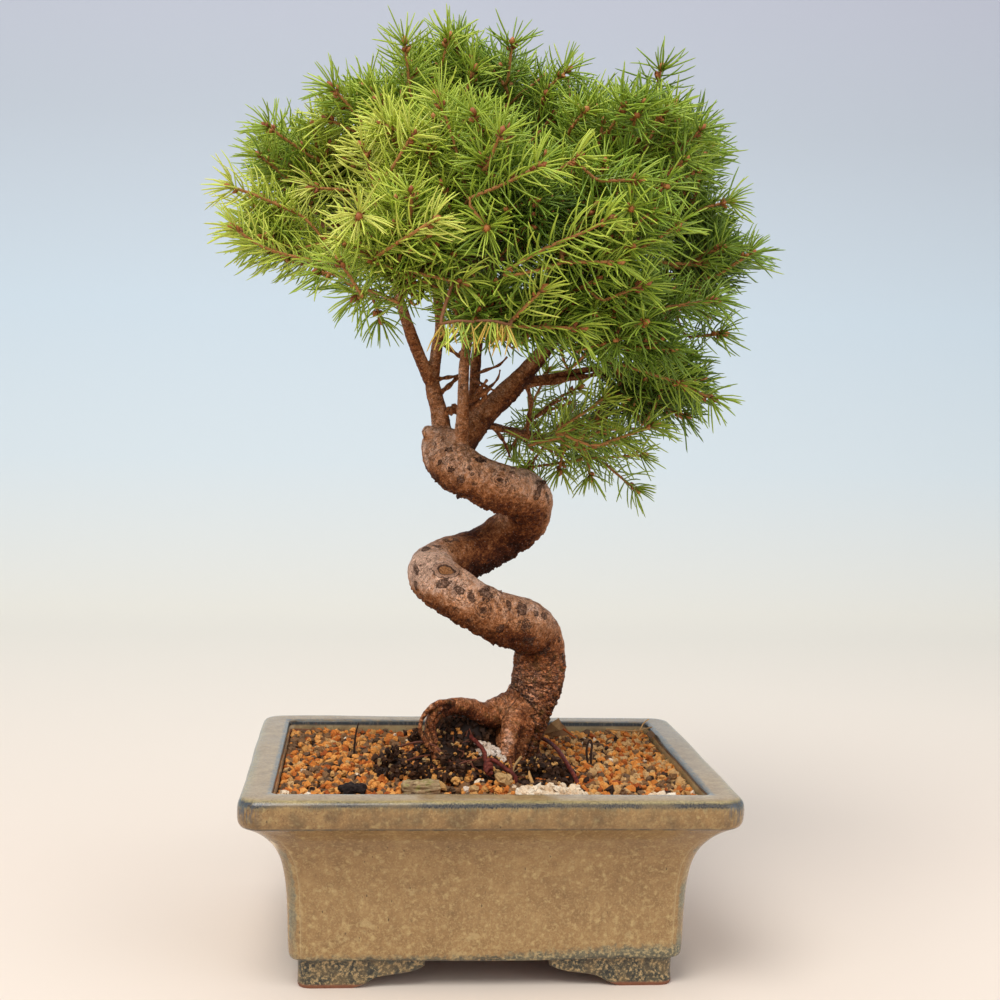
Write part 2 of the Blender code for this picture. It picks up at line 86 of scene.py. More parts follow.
def to_pixel(p):
    d = np.asarray(p) - CAM
    w = d @ FWD
    return np.stack([500 + FOCAL * (d @ RIGHT) / w, 500 - FOCAL * (d @ UP) / w], -1)


cam_data = bpy.data.cameras.new("camera")
cam_data.sensor_width = 36.0
cam_data.lens = FOCAL * 36.0 / 1000.0
cam_data.clip_start, cam_data.clip_end = 0.01, 50.0
cam = bpy.data.objects.new("camera", cam_data)
scene.collection.objects.link(cam)
rot = Matrix(((RIGHT[0], UP[0], -FWD[0]), (RIGHT[1], UP[1], -FWD[1]), (RIGHT[2], UP[2], -FWD[2]))).to_4x4()
cam.matrix_world = Matrix.Translation(Vector(CAM * MM)) @ rot
scene.camera = cam


# ================================================================ small tools
def unit(v):
    v = np.asarray(v, float)
    n = np.linalg.norm(v, axis=-1, keepdims=True)
    return v / np.maximum(n, 1e-9)


def smooth(a, b, x):
    t = np.clip((np.asarray(x, float) - a) / (b - a), 0, 1)
    return t * t * (3 - 2 * t)


def catmull(rows, per):
    """Smooth curve through rows of any width."""
    pts = np.asarray(rows, float)
    out = []
    n = len(pts)
    for i in range(n - 1):
        p0, p1, p2, p3 = pts[max(i - 1, 0)], pts[i], pts[i + 1], pts[min(i + 2, n - 1)]
        for k in range(per):
            t = k / per
            out.append(0.5 * (2 * p1 + (p2 - p0) * t + (2 * p0 - 5 * p1 + 4 * p2 - p3) * t * t + (3 * p1 - p0 - 3 * p2 + p3) * t ** 3))
    out.append(pts[-1])
    return np.array(out)


def new_mesh(name, verts_mm, faces, smooth_shade=True):
    mesh = bpy.data.meshes.new(name)
    mesh.from_pydata([tuple(v) for v in np.asarray(verts_mm) * MM], [], faces)
    mesh.validate()
    if smooth_shade:
        mesh.shade_smooth()
    return mesh


def add(name, mesh, mats=(), body="root"):
    obj = bpy.data.objects.new(name, mesh)
    scene.collection.objects.link(obj)
    for m in mats:
        obj.data.materials.append(m)
    if body:
        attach(obj, body)
    return obj


def apply_modifiers(obj):
    dg = bpy.context.evaluated_depsgraph_get()
    mesh = bpy.data.meshes.new_from_object(obj.evaluated_get(dg))
    obj.modifiers.clear()
    old = obj.data
    obj.data = mesh
    bpy.data.meshes.remove(old)


class Tree:
    """A short way to write a material's nodes."""

    def __init__(self, name):
        self.mat = bpy.data.materials.new(name)
        self.mat.use_nodes = True
        self.nt = self.mat.node_tree
        self.bsdf = self.nt.nodes["Principled BSDF"]

    def node(self, kind, **values):
        n = self.nt.nodes.new("ShaderNode" + kind)
        for key, value in values.items():
            if key.startswith("p_"):
                setattr(n, key[2:], value)
            else:
                self.put(n.inputs[int(key[1:])] if key[0] == "i" and key[1:].isdigit() else n.inputs[key.replace("_", " ")], value)
        return n

    def put(self, socket, value):
        if isinstance(value, bpy.types.NodeSocket):
            self.nt.links.new(value, socket)
        elif isinstance(value, bpy.types.Node):
            self.nt.links.new(value.outputs[0], socket)
        elif isinstance(value, (tuple, list)) and len(value) == 3 and socket.type == "RGBA":
            socket.default_value = (*value, 1)
        else:
            socket.default_value = value

    def coords(self, scale=1.0, kind="Object"):
        """Object coordinates in millimetres times scale."""
        c = self.node("TexCoord").outputs[kind]
        m = self.node("VectorMath", p_operation="MULTIPLY", i0=c)
        k = 1000.0 * scale if kind == "Object" else scale
        m.inputs[1].default_value = (k, k, k) if not isinstance(scale, tuple) else tuple(1000.0 * s for s in scale)
        return m.outputs[0]

    def noise(self, co, scale=1.0, detail=3.0, rough=0.55, distort=0.0):
        n = self.node("TexNoise", Vector=co, Scale=scale, Detail=detail, Roughness=rough, Distortion=distort)
        return n.outputs["Fac"]

    def voronoi(self, co, scale=1.0, feature="F1", out="Distance", random=1.0):
        n = self.node("TexVoronoi", p_feature=feature, Vector=co, Scale=scale, Randomness=random)
        return n.outputs[out]

    def ramp(self, fac, *stops, interp="LINEAR"):
        n = self.node("ValToRGB", Fac=fac)
        n.color_ramp.interpolation = interp
        els = n.color_ramp.elements
        while len(els) < len(stops):
            els.new(0.5)
        for e, (pos, col) in zip(els, stops):
            e.position = pos
            e.color = (*col, 1) if isinstance(col, (tuple, list)) else (col, col, col, 1)
        return n.outputs[0]

    def math(self, op, a, b=None, clamp=False):
        n = self.node("Math", p_operation=op, p_use_clamp=clamp)
        self.put(n.inputs[0], a)
        if b is not None:
            self.put(n.inputs[1], b)
        return n.outputs[0]

    def mix(self, fac, a, b, mode="MIX"):
        n = self.node("Mix", p_data_type="RGBA", p_blend_type=mode)
        self.put(n.inputs[0], fac)
        self.put(n.inputs[6], a if not isinstance(a, tuple) else (*a, 1) if len(a) == 3 else a)
        self.put(n.inputs[7], b if not isinstance(b, tuple) else (*b, 1) if len(b) == 3 else b)
        return n.outputs[2]

    def attr(self, name, out="Fac"):
        n = self.node("Attribute", p_attribute_name=name)
        return n.outputs[out]

    def bump(self, height, dist_mm=0.2, strength=1.0, normal=None):
        n = self.node("Bump", Height=height, Distance=dist_mm * MM, Strength=strength)
        if normal is not None:
            self.put(n.inputs["Normal"], normal)
        return n.outputs[0]

    def out(self, **values):
        for key, value in values.items():
            self.put(self.bsdf.inputs[key.replace("_", " ")], value)
        return self.mat


def set_attr(mesh, name, values):
    a = mesh.attributes.new(name, "FLOAT", "POINT")
    a.data.foreach_set("value", np.asarray(values, np.float32))


def coords_of(mesh):
    co = np.empty(len(mesh.vertices) * 3, np.float32)
    mesh.vertices.foreach_get("co", co)
    return co.reshape(-1, 3) / MM


def normals_of(mesh):
    no = np.empty(len(mesh.vertices) * 3, np.float32)
    mesh.vertices.foreach_get("normal", no)
    return no.reshape(-1, 3)


def set_coords(mesh, co):
    mesh.vertices.foreach_set("co", (np.asarray(co) * MM).astype(np.float32).ravel())
    mesh.update()


def fbm(points, scale, octaves=3, gain=0.5, shift=0.0):
    """Layered noise at points in millimetres; scale is the size of the largest lumps."""
    out = np.empty(len(points))
    for i, p in enumerate(np.asarray(points) / scale + shift):
        v, amp, q = 0.0, 1.0, Vector(p)
        for _ in range(octaves):
            v += amp * noise.noise(q)
            q = q * 2.03
            amp *= gain
        out[i] = v
    return out


# ================================================================ dimensions shared with the solids
SKEW = 17.0
TRUNK = [
    (12.0, -2.0, 62.0, 7.5),
    (13.0, -1.0, 74.0, 10.4),
    (14.8, -0.5, 86.0, 10.8),
    (18.8, 0.5, 99.0, 11.3),
    (24.4, 2.0, 112.0, 11.4),
    (25.5, 2.0, 124.0, 11.4),
    (23.2, -2.0, 135.0, 11.0),
    (16.0, -9.0, 140.8, 11.7),
    (1.0, -14.5, 146.5, 10.6),
    (-13.0, -14.5, 154.5, 10.6),
    (-23.0, -8.0, 162.0, 10.8),
    (-18.0, 4.0, 166.5, 10.0),
    (-2.0, 12.0, 170.5, 10.2),
    (11.0, 12.0, 179.0, 10.1),
    (19.0, 4.5, 188.5, 10.4),
    (16.0, -5.0, 197.0, 10.6),
    (2.5, -10.0, 201.0, 10.4),
    (-11.5, -9.5, 207.5, 10.3),
    (-18.5, -5.5, 214.0, 10.0),
    (-20.5, -1.5, 221.5, 8.4),
]
ROOTS = {
    "arch": [(22, 1, 103.5, 6.5), (13.5, -0.5, 102, 7.8), (5.4, -3, 100.3, 6.8), (0.3, -6, 100.9, 5.3), (-5.7, -9, 104.3, 4.2), (-11.1, -12, 105.7, 3.8), (-16, -14, 105.4, 3.6), (-19.9, -16, 103.6, 3.2), (-22.5, -18, 100.6, 2.8), (-23.6, -19, 96, 2.5), (-22.9, -20, 91.1, 2.4), (-20.2, -21, 85.2, 2.4), (-18.4, -21.5, 78, 2.2), (-17.6, -22, 74, 2.0)],
    "front": [(16, -5, 101, 6.0), (12.2, -11, 95, 4.6), (11.2, -13.5, 89, 4.0), (10.2, -15, 82, 4.0), (9, -17.5, 74, 3.4)],
    "right": [(17, 2, 88, 7.0), (23, 2, 80, 5.2), (29, 3, 74, 3.2)],
    "rear": [(14, 3, 88, 7.0), (9, 12, 79, 5.0), (6, 20, 73.5, 3.0)],
}
LIMBS = {
    "a": [(-19, -2, 218, 5.0), (-21.5, -3.5, 231, 3.9), (-24, -5, 240, 3.5), (-25.5, -6, 248, 3.2)],
    "a1": [(-25, -6, 244, 3.0), (-31, -10, 256, 2.7), (-36, -14, 268, 2.5), (-40, -15, 280, 2.2), (-43, -11, 292, 2.0), (-45, -5, 304, 1.8)],
    "a2": [(-25, -6, 243, 3.0), (-23.5, -6, 258, 2.6), (-22, -6, 270, 2.3), (-24, -8, 284, 2.1), (-27, -9, 300, 1.9), (-30, -10, 318, 1.7), (-33, -10, 332, 1.5)],
    "b": [(-13, -8, 216, 4.0), (-12, -12, 227, 3.0), (-12, -13.5, 238, 2.6), (-12, -14, 250, 2.4), (-11, -17, 262, 2.2), (-8, -22, 276, 2.0), (-4, -27, 290, 1.8), (-3, -30, 304, 1.6)],
    "c": [(-9, 1, 219, 4.0), (-6, 7, 230, 3.0), (-5.5, 11, 242, 2.6), (-5, 13, 256, 2.4), (-3, 15, 274, 2.2), (-1, 15, 294, 2.0), (-1, 12, 314, 1.8), (-3, 8, 334, 1.6)],
    "d": [(-12, 0, 217, 6.0), (-3, 4, 230, 5.6), (7, 6, 240, 5.0), (16, 5, 250, 4.2), (25, 4, 261, 3.4), (34, 4, 275, 2.8), (41, 4, 291, 2.4), (46, 3, 308, 2.1), (48, 2, 324, 1.8)],
    "d1": [(13, 6, 246, 3.0), (26, 9, 248, 1.9), (38, 8, 251, 1.7), (46, 2, 253, 1.5)],
    "e": [(-5, 3, 226, 2.5), (4, 9, 226.5, 1.5), (11, 14, 225, 1.3)],
    "knob": [(-20, -6, 214, 5.0), (-24.6, -7.0, 220.8, 3.5), (-27.0, -7.5, 225.0, 2.5)],
}
CLUMPS = [
    ("far_left", (-93.5, -25, 304), (31.5, 27, 23), "a1", 0.85),
    ("left_upper", (-82, 6, 340), (31, 32, 26), "a1", 1.0),
    ("left_low", (-69, -28, 281), (26, 26, 18), "a1", 0.55),
    ("top_left", (-46, -14, 364), (33, 31, 27), "a2", 1.0),
    ("top", (-8, 0, 378), (36, 31, 22.5), "c", 1.0),
    ("top_right", (45, 0, 365), (37, 33, 27), "d", 1.0),
    ("right_upper", (88, 10, 344), (28, 32, 30), "d", 0.92),
    ("right", (99, 0, 299), (26, 30, 33), "d", 0.75),
    ("right_low", (76, -14, 243), (37, 32, 25), "d1", 1.0),
    ("rear_right_low", (44, 46, 221), (42, 31, 25), "e", 1.0),
    ("front_left", (-41, -72, 300), (33, 31, 29), "b", 0.9),
    ("front_middle", (-3, -77, 318), (31, 27.5, 31), "b", 1.0),
    ("front_right", (40, -70, 307), (34, 33, 31), "d", 0.7),
    ("front_low", (2, -66, 273), (34, 30, 19), "b", 0.75),
    ("front_right_low", (54, -50, 272), (34, 32, 25), "d", 0.6),
    ("front_left_upper", (-28, -50, 340), (35, 32, 28), "a2", 0.85),
    ("front_right_upper", (52, -48, 342), (35, 32, 28), "d", 0.95),
    ("rear_left", (-60, 60, 328), (42, 40, 37), "c", 0.6),
    ("rear_top", (-3, 56, 368), (41, 39, 31), "c", 0.9),
    ("rear_right", (72, 62, 333), (42, 40, 38), "d", 0.85),
    ("rear_middle", (8, 78.3, 308), (42, 25.5, 36), "c", 0.65),
]


# ================================================================ trunk, roots and limbs
def tube_parts(rows, sides, per, phase=0.0):
    """Vertices and faces of a closed tapering tube along (x, y, z, radius) rows."""
    line = catmull(rows, per)
    centre, radius = line[:, :3], line[:, 3]
    tan = unit(np.gradient(centre, axis=0))
    side = unit(np.cross(tan[0], [0.31, 0.77, 0.55]))
    ang = np.arange(sides) * 2 * math.pi / sides + phase
    verts, faces = [], []
    for i in range(len(line)):
        side = unit(side - tan[i] * (side @ tan[i]))
        over = np.cross(tan[i], side)
        verts.append(centre[i] + (np.cos(ang)[:, None] * side + np.sin(ang)[:, None] * over) * radius[i])
    verts = np.concatenate(verts + [[centre[0] - tan[0] * radius[0] * 0.4], [centre[-1] + tan[-1] * radius[-1] * 0.6]])
    k = len(line)
    for i in range(k - 1):
        for j in range(sides):
            m = (j + 1) % sides
            faces.append((i * sides + j, i * sides + m, (i + 1) * sides + m, (i + 1) * sides + j))
    for j in range(sides):
        m = (j + 1) % sides
        faces.append((m, j, k * sides))
        faces.append(((k - 1) * sides + j, (k - 1) * sides + m, k * sides + 1))
    return verts, faces


def join_parts(parts):
    verts, faces, n = [], [], 0
    for v, f in parts:
        verts.append(np.asarray(v))
        faces += [tuple(i + n for i in face) for face in f]
        n += len(v)
    return np.concatenate(verts), faces


# how pale the bark is along the trunk's rows; the dark rows where the trunk passes behind are painted shade, and the
# raised rows at the right bend and at the base under the bend above are painted light
BARK_ROW_TONE_AND_PAINTED_LIGHT = [0.50, 0.53, 0.58, 0.66, 0.72, 0.73, 0.70, 0.65, 0.63, 0.70, 0.83, 0.54, 0.27, 0.44, 0.84, 0.73, 0.71, 0.65, 0.62, 0.66]
LIMB_TONE = {"a": 0.72, "a1": 0.66, "a2": 0.62, "b": 0.73, "c": 0.42, "d": 0.50, "d1": 0.42, "e": 0.42, "knob": 0.72}
ROOT_TONE = {"arch": 0.46, "front": 0.47, "right": 0.24, "rear": 0.24}
THIN_ROOTS = [
    [(*at(452, 703, -16), 1.5), (*at(440, 702.5, -19), 1.4), (*at(430, 708, -21), 1.2), (*at(422, 719, -22.5), 1.1), (*at(420.5, 731, -23), 1.05), (*at(425, 741, -23.5), 1.0), (*at(431, 752, -24), 0.9)],
    [(*at(447, 703, -17), 1.6), (*at(434, 713, -19), 1.8), (*at(430, 727, -20), 1.6), (*at(436, 742, -21), 1.2)],
]
TWIGS_LOW = [
    [(*at(441, 392, -6), 1.3), (*at(449, 386, -3), 1.1), (*at(457, 378, 0), 0.9), (*at(466, 371, 3), 0.7)],
    [(*at(442, 343, -8), 1.2), (*at(450, 349, -4), 1.0), (*at(459, 356, 0), 0.8), (*at(466, 360, 2), 0.6)],
    [(*at(455, 409, -4), 2.2), (*at(450, 411, -6), 1.9), (*at(446, 413, -7), 1.3)],
    [(*at(463, 403, -6), 1.9), (*at(474, 398, -8), 1.7), (*at(484, 393, -10), 1.4), (*at(490, 388, -11), 0.9)],
    [(*at(472, 398, -8), 1.1), (*at(480, 389, -10), 0.9), (*at(487, 380, -12), 0.6)],
    [(*at(485, 425, 4), 1.5), (*at(500, 429, 8), 1.3), (*at(514, 433, 12), 1.1), (*at(529, 437, 15), 1.0), (*at(543, 446, 18), 0.8), (*at(552, 452, 20), 0.6)],
    [(*at(493, 427, 6), 1.1), (*at(501, 437, 7), 0.9), (*at(506, 446, 8), 0.7), (*at(510, 457, 8), 0.5)],
    [(*at(521, 386, 6), 1.6), (*at(556, 381, 8), 1.4), (*at(580, 377, 6), 1.2), (*at(598, 373, 4), 1.1), (*at(617, 360, 2), 0.9)],
    [(*at(527, 386, 7), 1.2), (*at(531, 402, 10), 1.1), (*at(529, 416, 13), 1.0), (*at(527, 434, 15), 0.9)],
    [(*at(530, 421, 13), 0.9), (*at(540, 414, 15), 0.8), (*at(552, 404, 18), 0.7), (*at(566, 398, 20), 0.5)],
    [(*at(439, 379, -6), 1.0), (*at(448, 377.5, -3), 0.85), (*at(458, 376, 0), 0.7)],
    [(*at(470, 408, -5), 1.5), (*at(477, 404, -8), 1.2), (*at(485, 397.5, -10), 1.0), (*at(485, 390.5, -11), 0.6)],
    [(*at(474, 375, 8), 0.9), (*at(486, 370, 5), 0.75), (*at(499, 365, 2), 0.6), (*at(507, 357, 0), 0.45)],
    [(*at(481, 391, 2), 0.8), (*at(491, 386, -2), 0.65), (*at(498, 378, -4), 0.5), (*at(500, 370, -6), 0.35)],
    [(*at(474, 379, 4), 0.9), (*at(487, 387, -2), 0.7), (*at(495, 391, -4), 0.5)],
    [(*at(460, 352, -10), 0.9), (*at(468, 358, -12), 0.7), (*at(474, 361, -13), 0.5)],
]
SPLIT_Z = 286.0
thick, thin, paths = [], [], []


def note_path(rows, tone):
    line = catmull(rows, 8)
    step = np.linalg.norm(np.diff(line[:, :3], axis=0), axis=1)
    s = np.concatenate([[0], np.cumsum(step)])
    tan = unit(np.gradient(line[:, :3], axis=0))
    side = unit(np.cross(tan[0], [0.31, 0.77, 0.55]))
    sides = []
    for t in tan:
        side = unit(side - t * (side @ t))
        sides.append(side)
    paths.append((line, s + 137.0 * len(paths), tan, np.array(sides), tone))


thick.append(tube_parts(TRUNK, 28, 6))
n_rows = len(catmull(TRUNK, 8))
note_path(TRUNK, np.interp(np.linspace(0, len(TRUNK) - 1, n_rows), range(len(BARK_ROW_TONE_AND_PAINTED_LIGHT)), BARK_ROW_TONE_AND_PAINTED_LIGHT))
for name, rows in ROOTS.items():
    thick.append(tube_parts(rows, 18, 5))
    note_path(rows, np.full(len(catmull(rows, 8)), ROOT_TONE[name]))
for rows in THIN_ROOTS:
    thick.append(tube_parts(rows, 10, 4))
    note_path(rows, np.full(len(catmull(rows, 8)), 0.40))
for name, rows in LIMBS.items():
    low = [r for r in rows if r[2] < SPLIT_Z + 14]
    thick.append(tube_parts(low if len(low) > 1 else rows, 14, 5))
    if len(low) < len(rows):
        thin.append(tube_parts(rows[len(low) - 2:], 8, 3))
    note_path(rows, np.full(len(catmull(rows, 8)), LIMB_TONE[name]))
for rows in TWIGS_LOW:
    rows = [(r[0], r[1], r[2], r[3] * (1 + 0.22 * (-1) ** i)) for i, r in enumerate(catmull(rows, 2).tolist())]
    thin.append(tube_parts(rows, 7, 3))
verts, faces = join_parts(thick)
wood = add("wood", new_mesh("wood", verts, faces))
m = wood.modifiers.new("skin", "REMESH")
m.mode = "VOXEL"
m.voxel_size = 0.71 * MM
m = wood.modifiers.new("soft", "SMOOTH")
m.factor, m.iterations = 0.5, 4
apply_modifiers(wood)
mesh = wood.data
co, no = coords_of(mesh), normals_of(mesh)
all_line = np.concatenate([p[0] for p in paths])
all_s = np.concatenate([p[1] for p in paths])
all_tan = np.concatenate([p[2] for p in paths])
all_side = np.concatenate([p[3] for p in paths])
all_tone = np.concatenate([p[4] for p in paths])
all_id = np.concatenate([np.full(len(p[0]), i) for i, p in enumerate(paths)])
tree = KDTree(len(all_line))
for i, p in enumerate(all_line):
    tree.insert(p[:3], i)
tree.balance()
near = np.empty(len(co), int)
for i, p in enumerate(co):
    best, val = 0, 1e9
    for _, j, d in tree.find_n(p, 10):
        q = abs(d - all_line[j, 3]) if d < all_line[j, 3] * 2.2 else d
        if q < val:
            best, val = j, q
    near[i] = best
off = co - all_line[near, :3]
tan, side = all_tan[near], all_side[near]
ahead = (off * tan).sum(1)
lx = (off * side).sum(1)
ly = (off * np.cross(tan, side)).sum(1)
straight = np.stack([all_s[near] + ahead, lx, ly], 1)
on_trunk = all_id[near] == 0
radius = all_line[near, 3]

# bend: which side of a turn the skin faces
trunk_curve = catmull(TRUNK, 8)[:, :3]
bend = np.gradient(unit(np.gradient(trunk_curve, axis=0)), axis=0)
bend = -bend / max(1e-6, np.abs(bend).max())
outward = np.zeros(len(co))
idx = np.clip(near, 0, len(bend) - 1)
outward[on_trunk] = (no[on_trunk] * bend[idx[on_trunk]]).sum(1)
# painted light and shade: the bark's tone rises where the skin faces the key light and on the outer side of bends,
# rises again on the right side of the upper trunk as a painted rim light, and falls where the skin faces down
lit = no @ unit(np.array([-0.30, -0.30, 0.85]))
tone = all_tone[near] * (0.56 + 0.63 * smooth(-0.35, 0.8, lit)) + 0.25 * np.clip(outward, -1, 1) + 0.02
tone = tone - 0.17 * smooth(0.1, -0.9, no[:, 2]) + 0.15 * on_trunk * smooth(0.35, 0.95, no[:, 0]) * smooth(128, 150, co[:, 2])
crack = straight * np.array([1 / 1.9, 1 / 8.0, 1 / 8.0])
ridge = 1 - np.abs(fbm(crack, 1.0, 3, 0.55)) * 2.4
scaly = fbm(co, 1.9, 3, 0.6, 11.0)
blotch = fbm(co, 7.0, 3, 0.55, 3.0)
low = smooth(140, 116, co[:, 2]) * (0.45 + 0.55 * on_trunk)
rough_here = np.clip(0.35 + 0.5 * low + 0.5 * smooth(0.2, -0.7, no[:, 2]) + 0.5 * (tone < 0.35), 0, 1.1)
small = np.clip(radius / 9.0, 0.28, 1.0)
move = 0.42 * small * fbm(co, 13.0, 2, 0.5, 5.0) * 1.6 + (0.42 + 0.45 * low) * small * fbm(co, 4.4, 2, 0.5, 8.0) + 0.38 * scaly * rough_here * np.maximum(small, 0.6)
# fissures, deeper at the base and on the inner side of bends; the shader darkens them, partly their own darker bark and
# partly painted shade
fissure_and_shade = smooth(0.66 - 0.14 * low, 0.96, ridge) * np.clip(0.22 + 0.95 * low + 0.4 * (np.clip(-outward, 0, 1)), 0, 1)
move -= (0.50 + 0.45 * low) * fissure_and_shade * small
under = np.clip(smooth(-0.15, -0.8, no[:, 2]) + 0.5 * low, 0, 1) * np.clip(radius / 9.0, 0.2, 1)
move += 0.62 * under * smooth(0.20, 0.36, fbm(co, 1.9, 2, 0.6, 21.0))
co2 = co + no * move[:, None]
set_coords(mesh, co2)

# scars and patches, placed where the picture shows them: pixel, half-sizes in pixels, turn, kind
SCARS = [
    (446, 570, 10.5, 7.0, -8, "ring"),
    (443, 584, 7.5, 4.5, 18, "patch"),
    (459, 590, 6.0, 3.8, -25, "patch"),
    (471, 597, 3.6, 6.0, 10, "patch"),
    (486, 594, 7.0, 6.5, 0, "patch"),
    (483, 610, 8.0, 8.5, 0, "knot"),
    (509, 605, 2.4, 5.0, 12, "patch"),
    (522, 609, 5.5, 7.5, -20, "patch"),
    (544, 616, 4.5, 3.5, -10, "patch"),
    (536, 613, 3.0, 3.0, 0, "patch"),
    (500, 629, 5.0, 4.0, 20, "patch"),
    (526, 626, 9.0, 7.0, -15, "flaky"),
    (425, 549, 4.5, 5.0, 30, "patch"),
    (437, 546, 5.5, 4.0, -20, "flaky"),
    (416, 570, 3.0, 6.0, 20, "patch"),
    (416, 586, 2.2, 5.0, 10, "patch"),
    (448, 541, 6.0, 3.5, -15, "flaky"),
    (456, 540, 3.5, 2.0, -30, "patch"),
    (480, 460, 5.8, 4.2, -12, "hole"),
    (500, 480, 8.2, 6.0, -15, "knot"),
    (461, 479, 4.2, 4.0, 0, "patch"),
    (470, 468, 2.4, 2.4, 0, "patch"),
    (472, 474, 2.0, 2.0, 0, "patch"),
    (449, 450, 5.0, 4.0, 0, "flaky"),
    (440, 462, 5.5, 3.0, 30, "flaky"),
    (452, 470, 5.0, 4.0, 0, "flaky"),
    (538, 492, 3.4, 9.0, -18, "patch"),
    (548, 498, 2.2, 7.0, 5, "patch"),
    (540, 484, 7.5, 4.5, 25, "burr"),
    (434, 481, 3.6, 5.0, 20, "burr"),
    (459, 495, 3.6, 3.0, 20, "burr"),
    (512, 473, 3.4, 2.2, 20, "burr"),
    (503, 470, 3.0, 1.8, 20, "burr"),
    (487, 588, 4.5, 3.0, 20, "burr"),
    (500, 592, 2.6, 1.8, 0, "burr"),
    (474, 484, 2.6, 2.0, 0, "burr"),
    (446, 487, 2.4, 2.0, 0, "burr"),
    (545, 516, 2.6, 4.0, 0, "burr"),
    (470, 620, 3.0, 2.2, 20, "burr"),
    (497, 646, 3.0, 2.2, 20, "burr"),
    (455, 608, 2.4, 1.8, 20, "burr"),
    (559, 640, 2.2, 3.5, 0, "burr"),
    (412, 700, 3.6, 2.4, -30, "burr"),
    (425, 700, 3.2, 2.0, -10, "burr"),
    (481, 700, 3.0, 1.8, 0, "burr"),
    (563, 694, 2.6, 4.5, 0, "burr"),
    (566, 660, 2.0, 6.0, 0, "patch"),
    (516, 652, 3.0, 9.0, 10, "flaky"),
    (545, 652, 8.0, 5.0, 10, "flaky"),
    (530, 640, 9.0, 4.0, -8, "flaky"),
    (509, 738, 5.5, 9.0, 8, "bare"),
    (505, 752, 4.0, 6.0, 0, "bare"),
    (430, 706, 9.0, 3.0, -10, "bare"),
    (427, 462, 3.5, 7.0, 10, "bare"),
    (424, 447, 3.5, 5.0, 0, "bare"),
]
from mathutils.bvhtree import BVHTree

tri = [tuple(p.vertices) for p in mesh.polygons]
bvh = BVHTree.FromPolygons([tuple(v) for v in co2], tri)
vtree = KDTree(len(co2))
for i, p in enumerate(co2):
    vtree.insert(p, i)
vtree.balance()
no = normals_of(mesh)
scar, patch_d, ring_d, knot_d = np.zeros(len(co)), np.full(len(co), 3.0), np.full(len(co), 3.0), np.full(len(co), 3.0)
push = np.zeros(len(co))
for px, py, ra, rb, turn, kind in SCARS:
    d = ray(px, py)
    hit, n_hit, _, _ = bvh.ray_cast(Vector(CAM), Vector(d))
    if hit is None:
        d2 = ray(px + (3 if px < 480 else -3), py - 3)
        hit, n_hit, _, _ = bvh.ray_cast(Vector(CAM), Vector(d2))
        if hit is None:
            print("scar missed", px, py)
            continue
    mm = ((np.array(hit) - CAM) @ FWD) / FOCAL
    c, s = math.cos(math.radians(turn)), math.sin(math.radians(turn))
    ids = [j for _, j, _ in vtree.find_range(hit, max(ra, rb) * mm * 2.0)]
    rel = co2[ids] - np.array(hit)
    n_hit = np.array(n_hit)
    ex = unit(RIGHT - n_hit * (RIGHT @ n_hit) * 0.9)
    ey = unit(np.cross(n_hit, ex))
    u, v = rel @ ex, rel @ ey
    facing = (no[ids] @ n_hit) > 0.1
    u, v = (u * c + v * s) / (ra * mm), (-u * s + v * c) / (rb * mm)
    ragged = fbm(co2[ids], 1.6, 2, 0.5, px * 0.1)
    dist = np.hypot(u, v) + 0.22 * ragged
    dist[~facing] = 9
    if kind == "ring":
        push[ids] += 0.55 * np.exp(-(((dist - 1.12) / 0.26) ** 2)) - 0.35 * smooth(0.85, 0.6, dist)
        ring_d[ids] = np.minimum(ring_d[ids], dist)
    elif kind == "knot":
        push[ids] += 0.5 * np.exp(-(((dist - 1.0) / 0.3) ** 2)) - 0.4 * smooth(0.6, 0.2, dist)
        knot_d[ids] = np.minimum(knot_d[ids], dist)
    elif kind == "hole":
        push[ids] += 0.45 * np.exp(-(((dist - 1.1) / 0.25) ** 2)) - 0.9 * smooth(0.95, 0.4, dist)
        patch_d[ids] = np.minimum(patch_d[ids], dist)
        scar[ids] = np.maximum(scar[ids], smooth(0.8, 0.4, dist))
    elif kind == "patch":
        push[ids] += 0.22 * smooth(1.2, 0.6, dist) * (0.6 + ragged)
        patch_d[ids] = np.minimum(patch_d[ids], dist)
    elif kind == "flaky":
        flakes = smooth(-0.05, 0.30, fbm(co2[ids], 1.4, 2, 0.6, py * 0.1))
        push[ids] += 0.35 * smooth(1.3, 0.7, dist) * (flakes - 0.4)
        patch_d[ids] = np.minimum(patch_d[ids], dist + 0.55 * (1 - flakes))
    elif kind == "burr":
        push[ids] += min(ra, rb) * mm * 1.7 * smooth(1.1, 0.1, dist) * (0.8 + 1.3 * ragged)
        scar[ids] = np.maximum(scar[ids], 0.9 * smooth(1.2, 0.8, dist))
    elif kind == "bare":
        tone[ids] += 0.35 * smooth(1.3, 0.6, dist)
set_coords(mesh, co2 + no * push[:, None])
# upper limbs, hidden by the needles, as plain tubes in the same mesh
set_attr(mesh, "tone", tone + 0.13 * blotch + 0.14 * scaly)
set_attr(mesh, "scar", scar)
set_attr(mesh, "patch_d", patch_d)
set_attr(mesh, "ring_d", ring_d)
set_attr(mesh, "knot_d", knot_d)
set_attr(mesh, "fissure_and_shade", fissure_and_shade)
set_attr(mesh, "wrinkle", low)
a = mesh.attributes.new("bark", "FLOAT_VECTOR", "POINT")
a.data.foreach_set("vector", straight.astype(np.float32).ravel())

